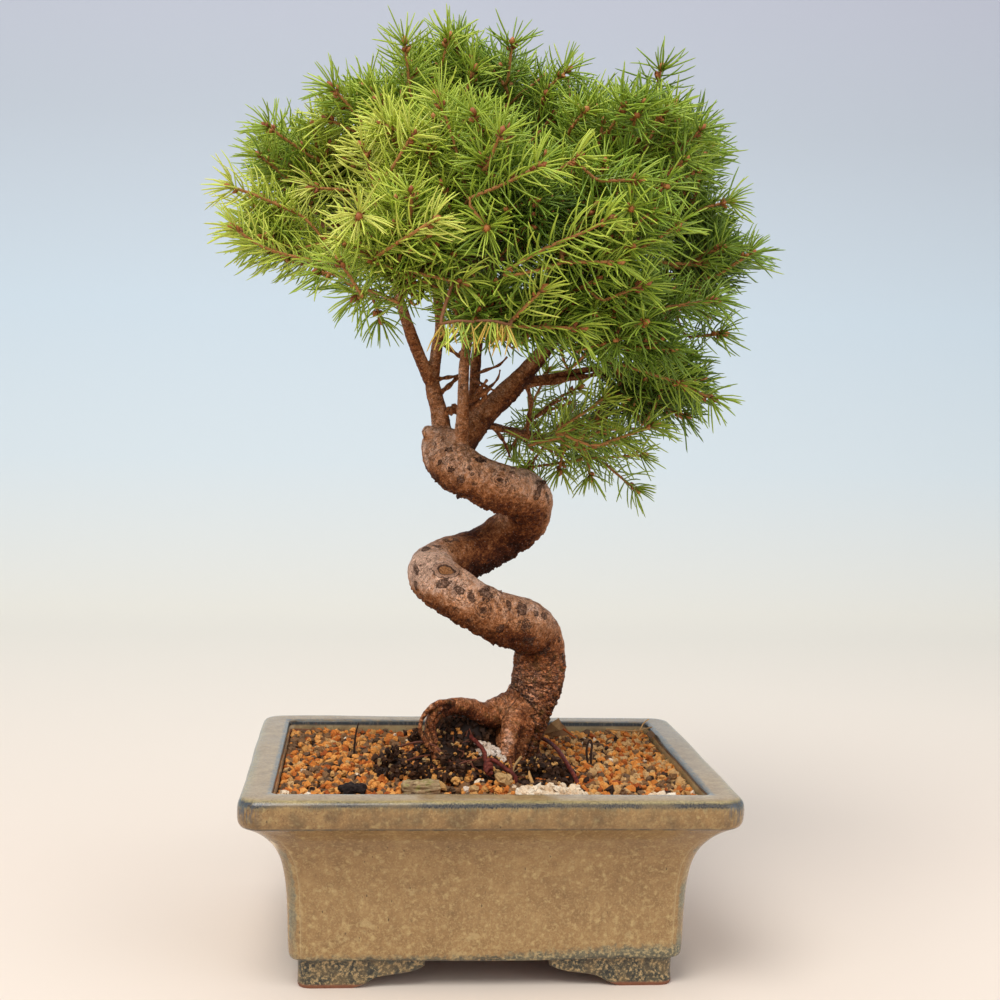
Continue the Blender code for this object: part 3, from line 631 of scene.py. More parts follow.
T = Tree("bark")
co_n = T.coords(1.0)
bark = T.attr("bark", "Vector")
stretch = T.node("VectorMath", p_operation="MULTIPLY", i0=bark)
stretch.inputs[1].default_value = (1.25, 0.30, 0.30)
rings_n = T.noise(stretch.outputs[0], 0.9, 4.0, 0.6, 0.4)
fine = T.noise(co_n, 1.15, 5.0, 0.62)
mid = T.noise(co_n, 0.33, 4.0, 0.6)
broad = T.noise(co_n, 0.11, 2.0, 0.5)
tone_n = T.math("ADD", T.attr("tone"), T.math("MULTIPLY", T.math("SUBTRACT", fine, 0.5), 0.95))
tone_n = T.math("ADD", tone_n, T.math("MULTIPLY", T.math("SUBTRACT", mid, 0.5), 0.36))
tone_n = T.math("ADD", tone_n, T.math("MULTIPLY", T.math("SUBTRACT", broad, 0.5), 0.25))
base = T.ramp(tone_n, (0.0, (0.022, 0.0052, 0.0020)), (0.20, (0.092, 0.0215, 0.0062)), (0.36, (0.240, 0.077, 0.0220)), (0.52, (0.400, 0.156, 0.0585)), (0.68, (0.555, 0.257, 0.123)), (0.86, (0.695, 0.383, 0.235)), (1.0, (0.80, 0.515, 0.375)))
warp = T.node("TexNoise", Vector=co_n, Scale=0.8, Detail=2.0, Roughness=0.6)
scaled = T.node("VectorMath", p_operation="MULTIPLY", i0=bark)
scaled.inputs[1].default_value = (1.0, 0.62, 0.62)
shifted = T.node("VectorMath", p_operation="MULTIPLY_ADD", i0=warp.outputs["Color"])
shifted.inputs[1].default_value = (1.9, 1.9, 1.9)
T.put(shifted.inputs[2], scaled.outputs[0])
rim_d = T.voronoi(shifted.outputs[0], 0.80, "DISTANCE_TO_EDGE")
plate = T.voronoi(shifted.outputs[0], 0.80, out="Color")
plate_gate = T.ramp(T.noise(co_n, 0.22, 3.0, 0.6), (0.40, 0.25), (0.58, 1.0))
base = T.mix(plate_gate, base, T.mix(1.0, base, T.ramp(plate, (0.28, (0.74, 0.71, 0.68)), (0.50, (1.0, 1.0, 1.0)), (0.72, (1.24, 1.24, 1.22))), "MULTIPLY"))
base = T.mix(T.math("MULTIPLY", T.ramp(rim_d, (0.015, 0.72), (0.075, 0.0)), plate_gate), base, (0.040, 0.0135, 0.0062))
wrinkle = T.attr("wrinkle")
# the base zone is made much brighter and redder: partly its own bark, partly painted light that lifts the shadow of the
# bend above
base = T.mix(wrinkle, base, T.mix(1.0, base, (2.88, 2.52, 2.36), "MULTIPLY"))
broad_co = T.node("VectorMath", p_operation="MULTIPLY", i0=bark)
broad_co.inputs[1].default_value = (0.95, 0.50, 0.50)
moved = T.node("VectorMath", p_operation="MULTIPLY_ADD", i0=warp.outputs["Color"])
moved.inputs[1].default_value = (2.4, 2.4, 2.4)
T.put(moved.inputs[2], broad_co.outputs[0])
lump_d = T.voronoi(moved.outputs[0], 0.60, "DISTANCE_TO_EDGE")
lump_up = T.math("MULTIPLY", T.ramp(lump_d, (0.16, 0.0), (0.36, 1.0)), T.math("MULTIPLY", wrinkle, T.ramp(fine, (0.44, 0.0), (0.60, 0.62))))
base = T.mix(lump_up, base, (0.62, 0.300, 0.165))
lump_gap = T.math("MULTIPLY", T.ramp(lump_d, (0.03, 0.78), (0.13, 0.0)), T.math("MULTIPLY", wrinkle, T.ramp(mid, (0.36, 0.45), (0.52, 1.0))))
base = T.mix(lump_gap, base, (0.056, 0.0155, 0.0070))
lines = T.ramp(rings_n, (0.38, 1.0), (0.48, 0.0))
lines = T.math("MULTIPLY", lines, T.math("ADD", T.math("MULTIPLY", wrinkle, 0.30), 0.38))
base = T.mix(lines, base, (0.042, 0.0120, 0.0055))
lift = T.math("MULTIPLY", T.ramp(rings_n, (0.54, 0.0), (0.64, 1.0)), T.math("MULTIPLY", wrinkle, 0.72))
base = T.mix(lift, base, (0.47, 0.205, 0.080))
stretch_b = T.node("VectorMath", p_operation="MULTIPLY", i0=bark)
stretch_b.inputs[1].default_value = (0.85, 0.16, 0.16)
folds = T.noise(stretch_b.outputs[0], 0.9, 3.0, 0.65, 0.8)
fold_m = T.ramp(T.math("ABSOLUTE", T.math("SUBTRACT", folds, 0.5)), (0.014, 1.0), (0.050, 0.0))
base = T.mix(T.math("MULTIPLY", fold_m, T.math("MULTIPLY", wrinkle, 0.68)), base, (0.040, 0.0110, 0.0050))
flake = T.ramp(T.noise(co_n, 0.62, 4.0, 0.72), (0.560, 0.0), (0.590, 1.0))
flake = T.math("MULTIPLY", flake, T.ramp(T.noise(co_n, 0.16, 2.0), (0.44, 0.0), (0.56, 0.70)))
base = T.mix(flake, base, (0.070, 0.024, 0.011))
pits = T.voronoi(co_n, 0.62)
pits = T.ramp(pits, (0.10, 1.0), (0.24, 0.0))
gate = T.ramp(T.noise(co_n, 0.45, 2.0), (0.5, 0.0), (0.62, 1.0))
base = T.mix(T.math("MULTIPLY", pits, T.math("MULTIPLY", gate, 0.75)), base, (0.030, 0.011, 0.006))
# darker in the fissures: partly their own bark, partly painted shade
base = T.mix(T.math("MULTIPLY", T.attr("fissure_and_shade"), 0.85), base, (0.046, 0.0135, 0.0060))
edge = T.math("MULTIPLY", T.attr("scar"), T.ramp(fine, (0.3, 1.0), (0.75, 0.55)))
base = T.mix(edge, base, (0.036, 0.016, 0.011))
rag = T.math("MULTIPLY", T.math("SUBTRACT", T.noise(co_n, 1.3, 3.0, 0.6), 0.5), 0.9)


def far(x, *stops):
    """A ramp over distances from 0 to 2."""
    return T.ramp(T.math("MULTIPLY", x, 0.5), *[(p / 2, c) for p, c in stops])


chunky = T.math("MULTIPLY", T.math("SUBTRACT", T.noise(co_n, 0.55, 2.0, 0.6), 0.5), 1.3)
pd = T.math("ADD", T.attr("patch_d"), T.math("ADD", T.math("MULTIPLY", rag, 1.25), chunky))
flecks = T.noise(co_n, 1.7, 3.0, 0.7)
patch_c = T.ramp(flecks, (0.36, (0.018, 0.0070, 0.0045)), (0.50, (0.062, 0.027, 0.017)), (0.60, (0.165, 0.082, 0.050)), (0.70, (0.34, 0.20, 0.13)))
hold = T.ramp(T.noise(co_n, 0.85, 3.0, 0.65), (0.34, 0.35), (0.50, 1.0))
base = T.mix(T.math("MULTIPLY", far(pd, (0.95, 0.92), (1.16, 0.0)), hold), base, patch_c)
base = T.mix(T.math("MULTIPLY", far(pd, (0.70, 0.0), (0.84, 0.8), (1.02, 0.8), (1.14, 0.0)), T.ramp(flecks, (0.40, 1.0), (0.60, 0.2))), base, (0.018, 0.0060, 0.0035))
kd = T.math("ADD", T.attr("knot_d"), T.math("MULTIPLY", T.math("ADD", rag, chunky), 0.35))
waves = T.math("SINE", T.math("MULTIPLY", kd, 19.0))
knot_m = T.math("MULTIPLY", T.ramp(T.math("ADD", T.math("MULTIPLY", waves, 0.5), 0.5), (0.45, 0.0), (0.75, 1.0)), far(kd, (1.05, 0.9), (1.30, 0.0)))
base = T.mix(T.math("MULTIPLY", knot_m, T.ramp(flecks, (0.38, 1.0), (0.62, 0.35))), base, (0.036, 0.014, 0.009))
base = T.mix(far(kd, (0.30, 0.85), (0.42, 0.0)), base, (0.032, 0.012, 0.008))
rd = T.math("ADD", T.attr("ring_d"), T.math("MULTIPLY", rag, 0.22))
heart_c = T.ramp(T.noise(co_n, 1.3, 4.0, 0.65), (0.35, (0.15, 0.052, 0.020)), (0.5, (0.33, 0.140, 0.052)), (0.65, (0.46, 0.23, 0.10)))
base = T.mix(far(rd, (1.10, 0.7), (1.22, 0.0)), base, (0.36, 0.20, 0.13))
base = T.mix(far(rd, (0.70, 1.0), (0.76, 0.0)), base, heart_c)
base = T.mix(far(rd, (0.68, 0.0), (0.74, 0.95), (0.84, 0.95), (0.92, 0.0)), base, (0.045, 0.020, 0.014))
base = T.mix(far(rd, (1.16, 0.0), (1.22, 0.9), (1.28, 0.9), (1.36, 0.0)), base, (0.055, 0.026, 0.018))
base = T.mix(T.math("MULTIPLY", far(rd, (1.46, 0.0), (1.50, 0.8), (1.55, 0.8), (1.60, 0.0)), T.ramp(fine, (0.40, 1.0), (0.55, 0.0))), base, (0.055, 0.026, 0.018))
mossy = T.math("MULTIPLY", T.ramp(T.noise(co_n, 0.28, 3.0, 0.6), (0.53, 0.0), (0.64, 0.42)), wrinkle)
base = T.mix(mossy, base, (0.200, 0.130, 0.025))
# painted highlight: small pale dots that stand for glints on the wet bark, most at the base
painted_glint_dots = T.ramp(T.voronoi(co_n, 0.82), (0.13, 1.0), (0.27, 0.0))
painted_highlight_mix = T.math("MULTIPLY", painted_glint_dots, T.math("MULTIPLY", T.ramp(T.noise(co_n, 0.55, 3.0, 0.6), (0.49, 0.0), (0.57, 1.0)), T.math("ADD", T.math("MULTIPLY", wrinkle, 0.38), 0.34)))
base = T.mix(painted_highlight_mix, base, (0.72, 0.50, 0.39))
# fine speckle, dark and pale; its brightest flecks are painted highlight standing for glints
speck_and_sparkle_noise = T.noise(co_n, 2.1, 3.0, 0.7)
base = T.mix(1.0, base, T.ramp(speck_and_sparkle_noise, (0.34, (0.50, 0.44, 0.40)), (0.44, (1.0, 1.0, 1.0)), (0.60, (1.0, 1.0, 1.0)), (0.70, (1.42, 1.40, 1.38))), "MULTIPLY")
height = T.math("ADD", T.math("ADD", T.math("MULTIPLY", T.ramp(rim_d, (0.0, 0.0), (0.10, 1.0)), T.math("MULTIPLY", plate_gate, 0.16)), T.math("ADD", T.math("MULTIPLY", fine, 0.6), T.math("MULTIPLY", speck_and_sparkle_noise, 0.35))), T.math("ADD", T.math("MULTIPLY", T.ramp(lump_d, (0.0, 0.0), (0.20, 1.0)), T.math("MULTIPLY", wrinkle, 0.85)), T.math("MULTIPLY", rings_n, T.math("ADD", T.math("MULTIPLY", wrinkle, 0.9), 0.4))))
gloss = T.math("ADD", T.math("MULTIPLY", fine, 0.5), T.math("MULTIPLY", wrinkle, -0.20))
BARK = T.out(Base_Color=base, Roughness=T.math("ADD", gloss, 0.30), Specular_IOR_Level=0.13, Coat_Weight=T.math("MULTIPLY", wrinkle, 0.14), Coat_Roughness=0.26, Normal=T.bump(height, 0.95, 1.2))
mesh.shade_smooth()
mesh.materials.append(BARK)
if thin:
    verts, faces = join_parts(thin)
    extra = new_mesh("wood_top", verts, faces)
    set_attr(extra, "tone", np.full(len(extra.vertices), 0.50))
    for key in ("scar", "fissure_and_shade", "wrinkle"):
        set_attr(extra, key, np.zeros(len(extra.vertices)))
    for key in ("patch_d", "ring_d", "knot_d"):
        set_attr(extra, key, np.full(len(extra.vertices), 3.0))
    a = extra.attributes.new("bark", "FLOAT_VECTOR", "POINT")
    a.data.foreach_set("vector", coords_of(extra).astype(np.float32).ravel())
    bm = bmesh.new()
    bm.from_mesh(mesh)
    bm.from_mesh(extra)
    bm.to_mesh(mesh)
    bm.free()
    mesh.shade_smooth()
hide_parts("trunk")
print("wood triangles", sum(len(p.vertices) - 2 for p in mesh.polygons))


# ================================================================ pot
OUTER = [(11.5, 76.6, 5.5), (11.9, 78.6, 6.2), (13.2, 80.0, 6.6), (20.0, 80.5, 6.8), (34.0, 81.0, 7.0), (44.0, 81.8, 7.2), (52.0, 83.3, 7.4), (58.5, 86.0, 7.6), (63.5, 89.6, 7.8), (67.0, 93.2, 8.0), (69.4, 96.6, 8.2), (70.6, 98.6, 8.4), (72.4, 99.6, 8.6), (75.0, 100.0, 8.8), (79.0, 99.9, 8.8), (81.2, 98.8, 8.2), (82.0, 96.6, 7.0), (82.0, 88.4, 4.6), (81.2, 87.0, 3.8), (77.0, 86.4, 3.6), (68.0, 85.4, 3.6), (62.0, 82.6, 4.0), (55.0, 79.0, 5.0), (44.0, 76.4, 5.5), (28.0, 74.8, 6.0), (20.5, 73.4, 6.0), (18.0, 70.4, 5.0)]
INNER = OUTER[18:]
FOOT = [(0.0, 22.5, 19.0), (0.8, 25.0, 21.5), (2.3, 28.5, 25.0), (4.4, 32.0, 28.0), (5.7, 38.0, 32.5), (6.7, 45.0, 37.0), (8.3, 50.0, 40.0), (9.8, 51.0, 41.0), (14.5, 51.5, 41.4)]
FOOT_A, FOOT_T = 76.5, 10.0


def rounded(a, b, r, seg=8, nx=10, ny=8):
    """Points of a rounded rectangle, anticlockwise from the front right corner's start."""
    out = []
    corners = ((a - r, -b + r, -90), (a - r, b - r, 0), (-a + r, b - r, 90), (-a + r, -b + r, 180))
    for k, (cx, cy, start) in enumerate(corners):
        for i in range(seg + 1):
            t = math.radians(start + 90 * i / seg)
            out.append((cx + r * math.cos(t), cy + r * math.sin(t)))
        nxt = corners[(k + 1) % 4]
        t = math.radians(nxt[2])
        end = np.array((nxt[0] + r * math.cos(t), nxt[1] + r * math.sin(t)))
        begin = np.array(out[-1])
        n = ny if k % 2 == 0 else nx
        for i in range(1, n):
            out.append(tuple(begin + (end - begin) * i / n))
    return out


def loft_faces(rings, cap_first=True, cap_last=True):
    n, faces = len(rings[0]), []
    for i in range(len(rings) - 1):
        for j in range(n):
            m = (j + 1) % n
            faces.append((i * n + j, i * n + m, (i + 1) * n + m, (i + 1) * n + j))
    if cap_first:
        faces.append(tuple(range(n))[::-1])
    if cap_last:
        faces.append(tuple(range((len(rings) - 1) * n, len(rings) * n)))
    return np.array([p for ring in rings for p in ring]), faces


def boolean(obj, other, how):
    m = obj.modifiers.new("cut", "BOOLEAN")
    m.operation, m.object, m.solver = how, other, "EXACT"
    apply_modifiers(obj)
    bpy.data.objects.remove(other)


profile = np.array(OUTER)
fine_rows = catmull(profile[:18], 3)[:-1].tolist() + catmull(profile[17:], 2).tolist()
rings = [[(x, y, z) for x, y in rounded(a, a - SKEW, max(2.0, r), 8, 16, 13)] for z, a, r in fine_rows]
verts, faces = loft_faces(rings)
pot = add("pot_body", new_mesh("pot_body", verts, faces))
foot_rows = catmull(np.array(FOOT), 2)
for sx in (-1, 1):
    for sy in (-1, 1):
        rings = []
        for z, lx, ly in foot_rows:
            a, b, r, q = FOOT_A, FOOT_A - SKEW + 1.0, 5.0, 0.9
            inset = 0.5 * smooth(1.1, 0.0, z)
            a, b = a - inset, b - inset
            ring = [(a - lx + q, -b), (a - lx * 0.5 - r * 0.5, -b), (a - r, -b)]
            ring += [(a - r + r * math.sin(math.radians(t)), -b + r - r * math.cos(math.radians(t))) for t in (15, 30, 45, 60, 75)]
            ring += [(a, -b + r), (a, -b + ly * 0.6), (a, -b + ly - q), (a - q, -b + ly), (a - FOOT_T, -b + ly), (a - FOOT_T, -b + FOOT_T), (a - lx, -b + FOOT_T), (a - lx, -b + q)]
            rings.append([(x * sx, y * sy, z) for x, y in (ring if sx * sy > 0 else ring[::-1])])
        verts, faces = loft_faces(rings)
        boolean(pot, add("foot", new_mesh("foot", verts, faces), body=None), "UNION")
for s in (-1, 1):
    ring = [(s * 40 + 7 * math.cos(2 * math.pi * i / 40), 7 * math.sin(2 * math.pi * i / 40)) for i in range(40)]
    verts, faces = loft_faces([[(x, y, 4.0) for x, y in ring], [(x, y, 30.0) for x, y in ring]])
    boolean(pot, add("drain", new_mesh("drain", verts, faces), body=None), "DIFFERENCE")
mesh = pot.data
co, no = coords_of(mesh), normals_of(mesh)
wave = fbm(co, 46.0, 2, 0.5, 2.0) * 0.55 + fbm(co, 9.0, 2, 0.5, 7.0) * 0.10
wave *= smooth(1.0, 4.0, co[:, 2])
set_coords(mesh, co + no * wave[:, None])
half = np.interp(co[:, 2], profile[:16, 0], profile[:16, 1])
rad = np.interp(co[:, 2], profile[:16, 0], profile[:16, 2])
qx = np.abs(co[:, 0]) - (half - rad)
qy = np.abs(co[:, 1]) - (half - SKEW - rad)
corner = smooth(0.8, 4.6, qx) * smooth(0.8, 4.6, qy)
set_attr(mesh, "corner", corner)
reach_x = np.maximum(np.abs(co[:, 0]), np.abs(co[:, 1]) + SKEW)
wall_out = np.interp(co[:, 2], profile[:16, 0], profile[:16, 1])
set_attr(mesh, "bottom", ((reach_x < 74.6) & (co[:, 2] < 12.6)).astype(float))
set_attr(mesh, "within", ((reach_x < wall_out - 3.0) & (co[:, 2] < 81.6)).astype(float))
mesh.shade_smooth()
mesh.set_sharp_from_angle(angle=math.radians(38))

T = Tree("glaze")
P = T.coords(1.0)
xyz = T.node("SeparateXYZ", Vector=P)
X, Y, Z = xyz.outputs
ax, ay = T.math("ABSOLUTE", X), T.math("ABSOLUTE", Y)
qx_n = T.math("SUBTRACT", ax, 91.2)
qy_n = T.math("SUBTRACT", ay, 74.2)
cx = T.math("MAXIMUM", qx_n, 0.0)
cy = T.math("MAXIMUM", qy_n, 0.0)
hyp = T.math("SQRT", T.math("ADD", T.math("MULTIPLY", cx, cx), T.math("MULTIPLY", cy, cy)))
d_rim = T.math("SUBTRACT", T.math("ADD", hyp, T.math("MINIMUM", T.math("MAXIMUM", qx_n, qy_n), 0.0)), 8.8)
cloud = T.noise(P, 0.035, 3.0)
mid = T.noise(P, 0.17, 3.0, 0.6)
grain = T.noise(P, 0.85, 4.0, 0.65)
blot = T.noise(P, 0.42, 3.0, 0.55)
fleck = T.noise(P, 1.15, 2.0, 0.5)
speck = T.noise(P, 2.4, 2.0, 0.6)
lower = T.node("MapRange", p_clamp=True, Value=Z, From_Min=46.0, From_Max=14.0).outputs[0]
tone = T.math("ADD", T.math("MULTIPLY", mid, 0.40), T.math("MULTIPLY", grain, 0.22))
tone = T.math("ADD", tone, T.math("MULTIPLY", cloud, 0.38))
body = T.ramp(tone, (0.36, (0.232, 0.133, 0.051)), (0.50, (0.318, 0.188, 0.075)), (0.64, (0.395, 0.250, 0.103)))
shift = T.math("MULTIPLY", lower, 0.035)
soft_spot = T.ramp(T.math("ADD", blot, shift), (0.53, 0.0), (0.62, 0.36), (0.71, 0.95))
body = T.mix(soft_spot, body, (0.485, 0.345, 0.150))
body = T.mix(T.ramp(T.math("ADD", T.noise(P, 0.16, 3.0, 0.6), shift), (0.64, 0.0), (0.70, 0.60)), body, (0.500, 0.365, 0.165))
small_spot = T.ramp(T.math("ADD", fleck, shift), (0.54, 0.0), (0.66, 0.50))
body = T.mix(small_spot, body, (0.477, 0.328, 0.142))
body = T.mix(T.ramp(speck, (0.32, 0.40), (0.45, 0.0)), body, (0.150, 0.082, 0.034))
body = T.mix(T.ramp(T.noise(P, 0.55, 3.0, 0.6), (0.36, 0.22), (0.47, 0.0)), body, (0.180, 0.112, 0.050))
tick_co = T.node("VectorMath", p_operation="MULTIPLY", i0=P)
tick_co.inputs[1].default_value = (1.0, 1.0, 0.45)
ticks = T.ramp(T.voronoi(tick_co.outputs[0], 0.30), (0.055, 0.80), (0.105, 0.0))
body = T.mix(T.math("MULTIPLY", ticks, T.ramp(T.noise(P, 0.05, 2.0), (0.46, 0.0), (0.54, 1.0))), body, (0.060, 0.034, 0.016))
shadow = T.math("MAXIMUM", T.node("MapRange", p_clamp=True, Value=T.math("ABSOLUTE", T.math("SUBTRACT", Z, 76.0)), From_Min=5.6, From_Max=4.2).outputs[0], T.math("MULTIPLY", T.node("MapRange", p_clamp=True, Value=Z, From_Min=54.0, From_Max=67.0).outputs[0], 0.9))
body = T.mix(T.math("MULTIPLY", shadow, 0.62), body, T.mix(1.0, body, (0.62, 0.60, 0.56), "MULTIPLY"))
# the rim's flat top is greyer
z_top = T.node("MapRange", p_clamp=True, Value=Z, From_Min=81.35, From_Max=81.9)
body = T.mix(T.math("MULTIPLY", z_top.outputs[0], 0.72), body, T.ramp(T.math("ADD", T.math("MULTIPLY", grain, 0.5), T.math("MULTIPLY", mid, 0.5)), (0.36, (0.300, 0.200, 0.090)), (0.50, (0.415, 0.290, 0.140)), (0.66, (0.540, 0.400, 0.200))))
face_z = T.math("MULTIPLY", T.node("MapRange", p_clamp=True, Value=Z, From_Min=70.5, From_Max=72.0).outputs[0], T.node("MapRange", p_clamp=True, Value=Z, From_Min=80.8, From_Max=79.6).outputs[0])
patchy = T.noise(P, 0.11, 4.0, 0.65)
body = T.mix(face_z, body, T.mix(1.0, body, T.ramp(patchy, (0.36, (0.74, 0.76, 0.80)), (0.48, (1.0, 1.0, 1.0)), (0.64, (1.24, 1.22, 1.18))), "MULTIPLY"))
# olive band on the rim above the blue line
olive = T.node("MapRange", p_clamp=True, Value=T.math("ABSOLUTE", T.math("SUBTRACT", Z, 81.35)), From_Min=0.75, From_Max=0.25).outputs[0]
outer = T.node("MapRange", p_clamp=True, Value=d_rim, From_Min=-5.2, From_Max=-3.4).outputs[0]
olive = T.math("MULTIPLY", olive, outer)
body = T.mix(T.math("MULTIPLY", olive, 0.65), body, T.ramp(grain, (0.36, (0.270, 0.225, 0.095)), (0.62, (0.520, 0.410, 0.170))))
# blue breaks at the rim's outer edge, with runs above and below
wobble = T.math("MULTIPLY", T.math("SUBTRACT", T.noise(P, 0.12, 2.0), 0.5), 1.3)
runs_co = T.node("VectorMath", p_operation="MULTIPLY", i0=P)
runs_co.inputs[1].default_value = (1.3, 1.3, 0.12)
runs = T.noise(runs_co.outputs[0], 1.0, 3.0, 0.7)
fine_co = T.node("VectorMath", p_operation="MULTIPLY", i0=P)
fine_co.inputs[1].default_value = (3.2, 3.2, 0.35)
fine_runs = T.noise(fine_co.outputs[0], 1.0, 2.0, 0.6)
z_line = T.math("ADD", T.math("SUBTRACT", Z, 80.35), wobble)
z_off = T.math("ABSOLUTE", z_line)
fringe = T.math("ADD", z_off, T.math("MULTIPLY", T.math("SUBTRACT", runs, 0.5), 5.0))
fringe = T.math("ADD", fringe, T.math("MULTIPLY", T.math("SUBTRACT", fine_runs, 0.5), 2.4))
near_line = T.node("MapRange", p_clamp=True, Value=fringe, From_Min=2.3, From_Max=0.4).outputs[0]
ragged = T.math("ADD", z_off, T.math("MULTIPLY", T.math("SUBTRACT", fine_runs, 0.5), 2.3))
thin_line = T.node("MapRange", p_clamp=True, Value=ragged, From_Min=1.15, From_Max=0.50).outputs[0]
strength = T.ramp(T.noise(P, 0.045, 2.0), (0.32, 0.30), (0.56, 1.0))
runs_m = T.math("MULTIPLY", near_line, outer)
body = T.mix(T.math("MULTIPLY", runs_m, T.math("MULTIPLY", strength, 0.60)), body, T.ramp(runs, (0.38, (0.150, 0.148, 0.090)), (0.56, (0.270, 0.240, 0.120))))
line_m = T.math("MULTIPLY", T.math("MULTIPLY", thin_line, outer), T.math("MULTIPLY", strength, T.ramp(runs, (0.30, 0.45), (0.48, 1.0))))
body = T.mix(line_m, body, T.ramp(fine_runs, (0.38, (0.019, 0.018, 0.022)), (0.60, (0.088, 0.084, 0.078))))
# blue along the inner edge of the rim
inner_d = T.math("ABSOLUTE", T.math("ADD", d_rim, 12.5))
inner_m = T.node("MapRange", p_clamp=True, Value=T.math("ADD", inner_d, T.math("MULTIPLY", T.math("SUBTRACT", grain, 0.5), 2.0)), From_Min=1.9, From_Max=0.7).outputs[0]
inner_z = T.node("MapRange", p_clamp=True, Value=Z, From_Min=79.2, From_Max=80.4).outputs[0]
inner_m = T.math("MULTIPLY", T.math("MULTIPLY", inner_m, inner_z), T.ramp(T.noise(P, 0.3, 3.0), (0.32, 0.35), (0.60, 1.0)))
body = T.mix(T.math("MULTIPLY", inner_m, 0.86), body, (0.125, 0.148, 0.150))
dark_in = T.node("MapRange", p_clamp=True, Value=T.math("ABSOLUTE", T.math("SUBTRACT", Z, 80.6)), From_Min=1.30, From_Max=0.5).outputs[0]
inside = T.node("MapRange", p_clamp=True, Value=d_rim, From_Min=-12.2, From_Max=-12.8).outputs[0]
body = T.mix(T.math("MULTIPLY", T.math("MULTIPLY", dark_in, inside), T.ramp(runs, (0.34, 0.55), (0.48, 1.0))), body, (0.020, 0.024, 0.025))
body = T.mix(T.math("MULTIPLY", T.math("MULTIPLY", inside, T.node("MapRange", p_clamp=True, Value=Z, From_Min=79.9, From_Max=79.2).outputs[0]), T.math("MULTIPLY", T.ramp(T.attr("within"), (0.4, 0.0), (0.6, 1.0)), T.ramp(mid, (0.35, 0.35), (0.65, 0.75)))), body, (0.400, 0.330, 0.180))
# teal where the glaze is thin: corners, foot of the wall
thin_n = T.noise(P, 0.50, 4.0, 0.7)
edge_m = T.ramp(T.math("ADD", T.attr("corner"), T.math("MULTIPLY", T.math("SUBTRACT", thin_n, 0.5), 1.3)), (0.56, 0.0), (0.84, 1.0))
z_wall = T.node("MapRange", p_clamp=True, Value=Z, From_Min=69.0, From_Max=60.0).outputs[0]
body = T.mix(T.math("MULTIPLY", T.math("MULTIPLY", edge_m, z_wall), T.ramp(T.noise(P, 0.055, 2.0), (0.42, 0.15), (0.60, 0.72))), body, T.ramp(grain, (0.38, (0.085, 0.120, 0.108)), (0.62, (0.230, 0.250, 0.170))))
pale_edge = T.math("MULTIPLY", T.ramp(T.attr("corner"), (0.02, 0.0), (0.12, 1.0), (0.26, 0.0)), z_wall)
body = T.mix(T.math("MULTIPLY", pale_edge, 0.45), body, (0.545, 0.425, 0.220))
right_side = T.node("MapRange", p_clamp=True, Value=T.math("ADD", X, T.math("MULTIPLY", Y, -0.3)), From_Min=10.0, From_Max=78.0).outputs[0]
reach = T.math("ADD", T.math("MULTIPLY", right_side, 4.2), 13.2)
over = T.math("SUBTRACT", T.math("ADD", Z, T.math("MULTIPLY", T.math("SUBTRACT", thin_n, 0.5), 10.0)), reach)
low_m = T.node("MapRange", p_clamp=True, Value=over, From_Min=1.6, From_Max=-1.2).outputs[0]
body = T.mix(T.math("MULTIPLY", low_m, 0.85), body, T.ramp(T.noise(P, 0.75, 3.0, 0.65), (0.40, (0.060, 0.074, 0.062)), (0.52, (0.150, 0.150, 0.098)), (0.62, (0.43, 0.340, 0.175))))
# rim corners, darker and streaky
qc = T.math("MULTIPLY", T.node("MapRange", p_clamp=True, Value=qx_n, From_Min=-3.0, From_Max=5.0).outputs[0], T.node("MapRange", p_clamp=True, Value=qy_n, From_Min=-8.0, From_Max=1.0).outputs[0])
rim_z = T.node("MapRange", p_clamp=True, Value=Z, From_Min=71.5, From_Max=76.5).outputs[0]
rim_z = T.math("MULTIPLY", rim_z, T.node("MapRange", p_clamp=True, Value=Z, From_Min=81.95, From_Max=81.3).outputs[0])
qc = T.math("MULTIPLY", T.math("MULTIPLY", qc, rim_z), T.ramp(runs, (0.46, 0.0), (0.58, 1.0)))
body = T.mix(T.math("MULTIPLY", qc, 0.85), body, (0.060, 0.078, 0.095))
side_m = T.math("MULTIPLY", T.node("MapRange", p_clamp=True, Value=T.math("ADD", d_rim, T.math("MULTIPLY", T.math("SUBTRACT", thin_n, 0.5), 3.0)), From_Min=-1.1, From_Max=-0.2).outputs[0], T.node("MapRange", p_clamp=True, Value=qx_n, From_Min=4.0, From_Max=7.0).outputs[0])
body = T.mix(T.math("MULTIPLY", T.math("MULTIPLY", side_m, T.node("MapRange", p_clamp=True, Value=Z, From_Min=77.0, From_Max=79.5).outputs[0]), 0.6), body, (0.085, 0.120, 0.130))
# feet: blue grey with cream flecks, under a wavy edge of body glaze
foot_edge = T.math("ADD", T.math("MULTIPLY", T.math("SUBTRACT", T.noise(P, 0.085, 2.0), 0.5), 9.0), T.math("MULTIPLY", T.math("SUBTRACT", thin_n, 0.5), 1.2))
foot_z = T.math("ADD", Z, foot_edge)
foot_m = T.node("MapRange", p_clamp=True, Value=foot_z, From_Min=11.9, From_Max=11.4).outputs[0]
crystal = T.noise(P, 0.80, 3.0, 0.65)
foot_c = T.ramp(crystal, (0.40, (0.026, 0.026, 0.022)), (0.49, (0.070, 0.066, 0.045)), (0.55, (0.167, 0.130, 0.066)), (0.62, (0.450, 0.310, 0.150)))
foot_c = T.mix(T.ramp(mid, (0.42, 0.0), (0.62, 0.35)), foot_c, (0.276, 0.177, 0.073))
body = T.mix(foot_m, body, foot_c)
drip = T.node("MapRange", p_clamp=True, Value=T.math("ABSOLUTE", T.math("SUBTRACT", foot_z, 12.1)), From_Min=0.75, From_Max=0.15).outputs[0]
body = T.mix(T.math("MULTIPLY", drip, 0.75), body, (0.050, 0.048, 0.038))
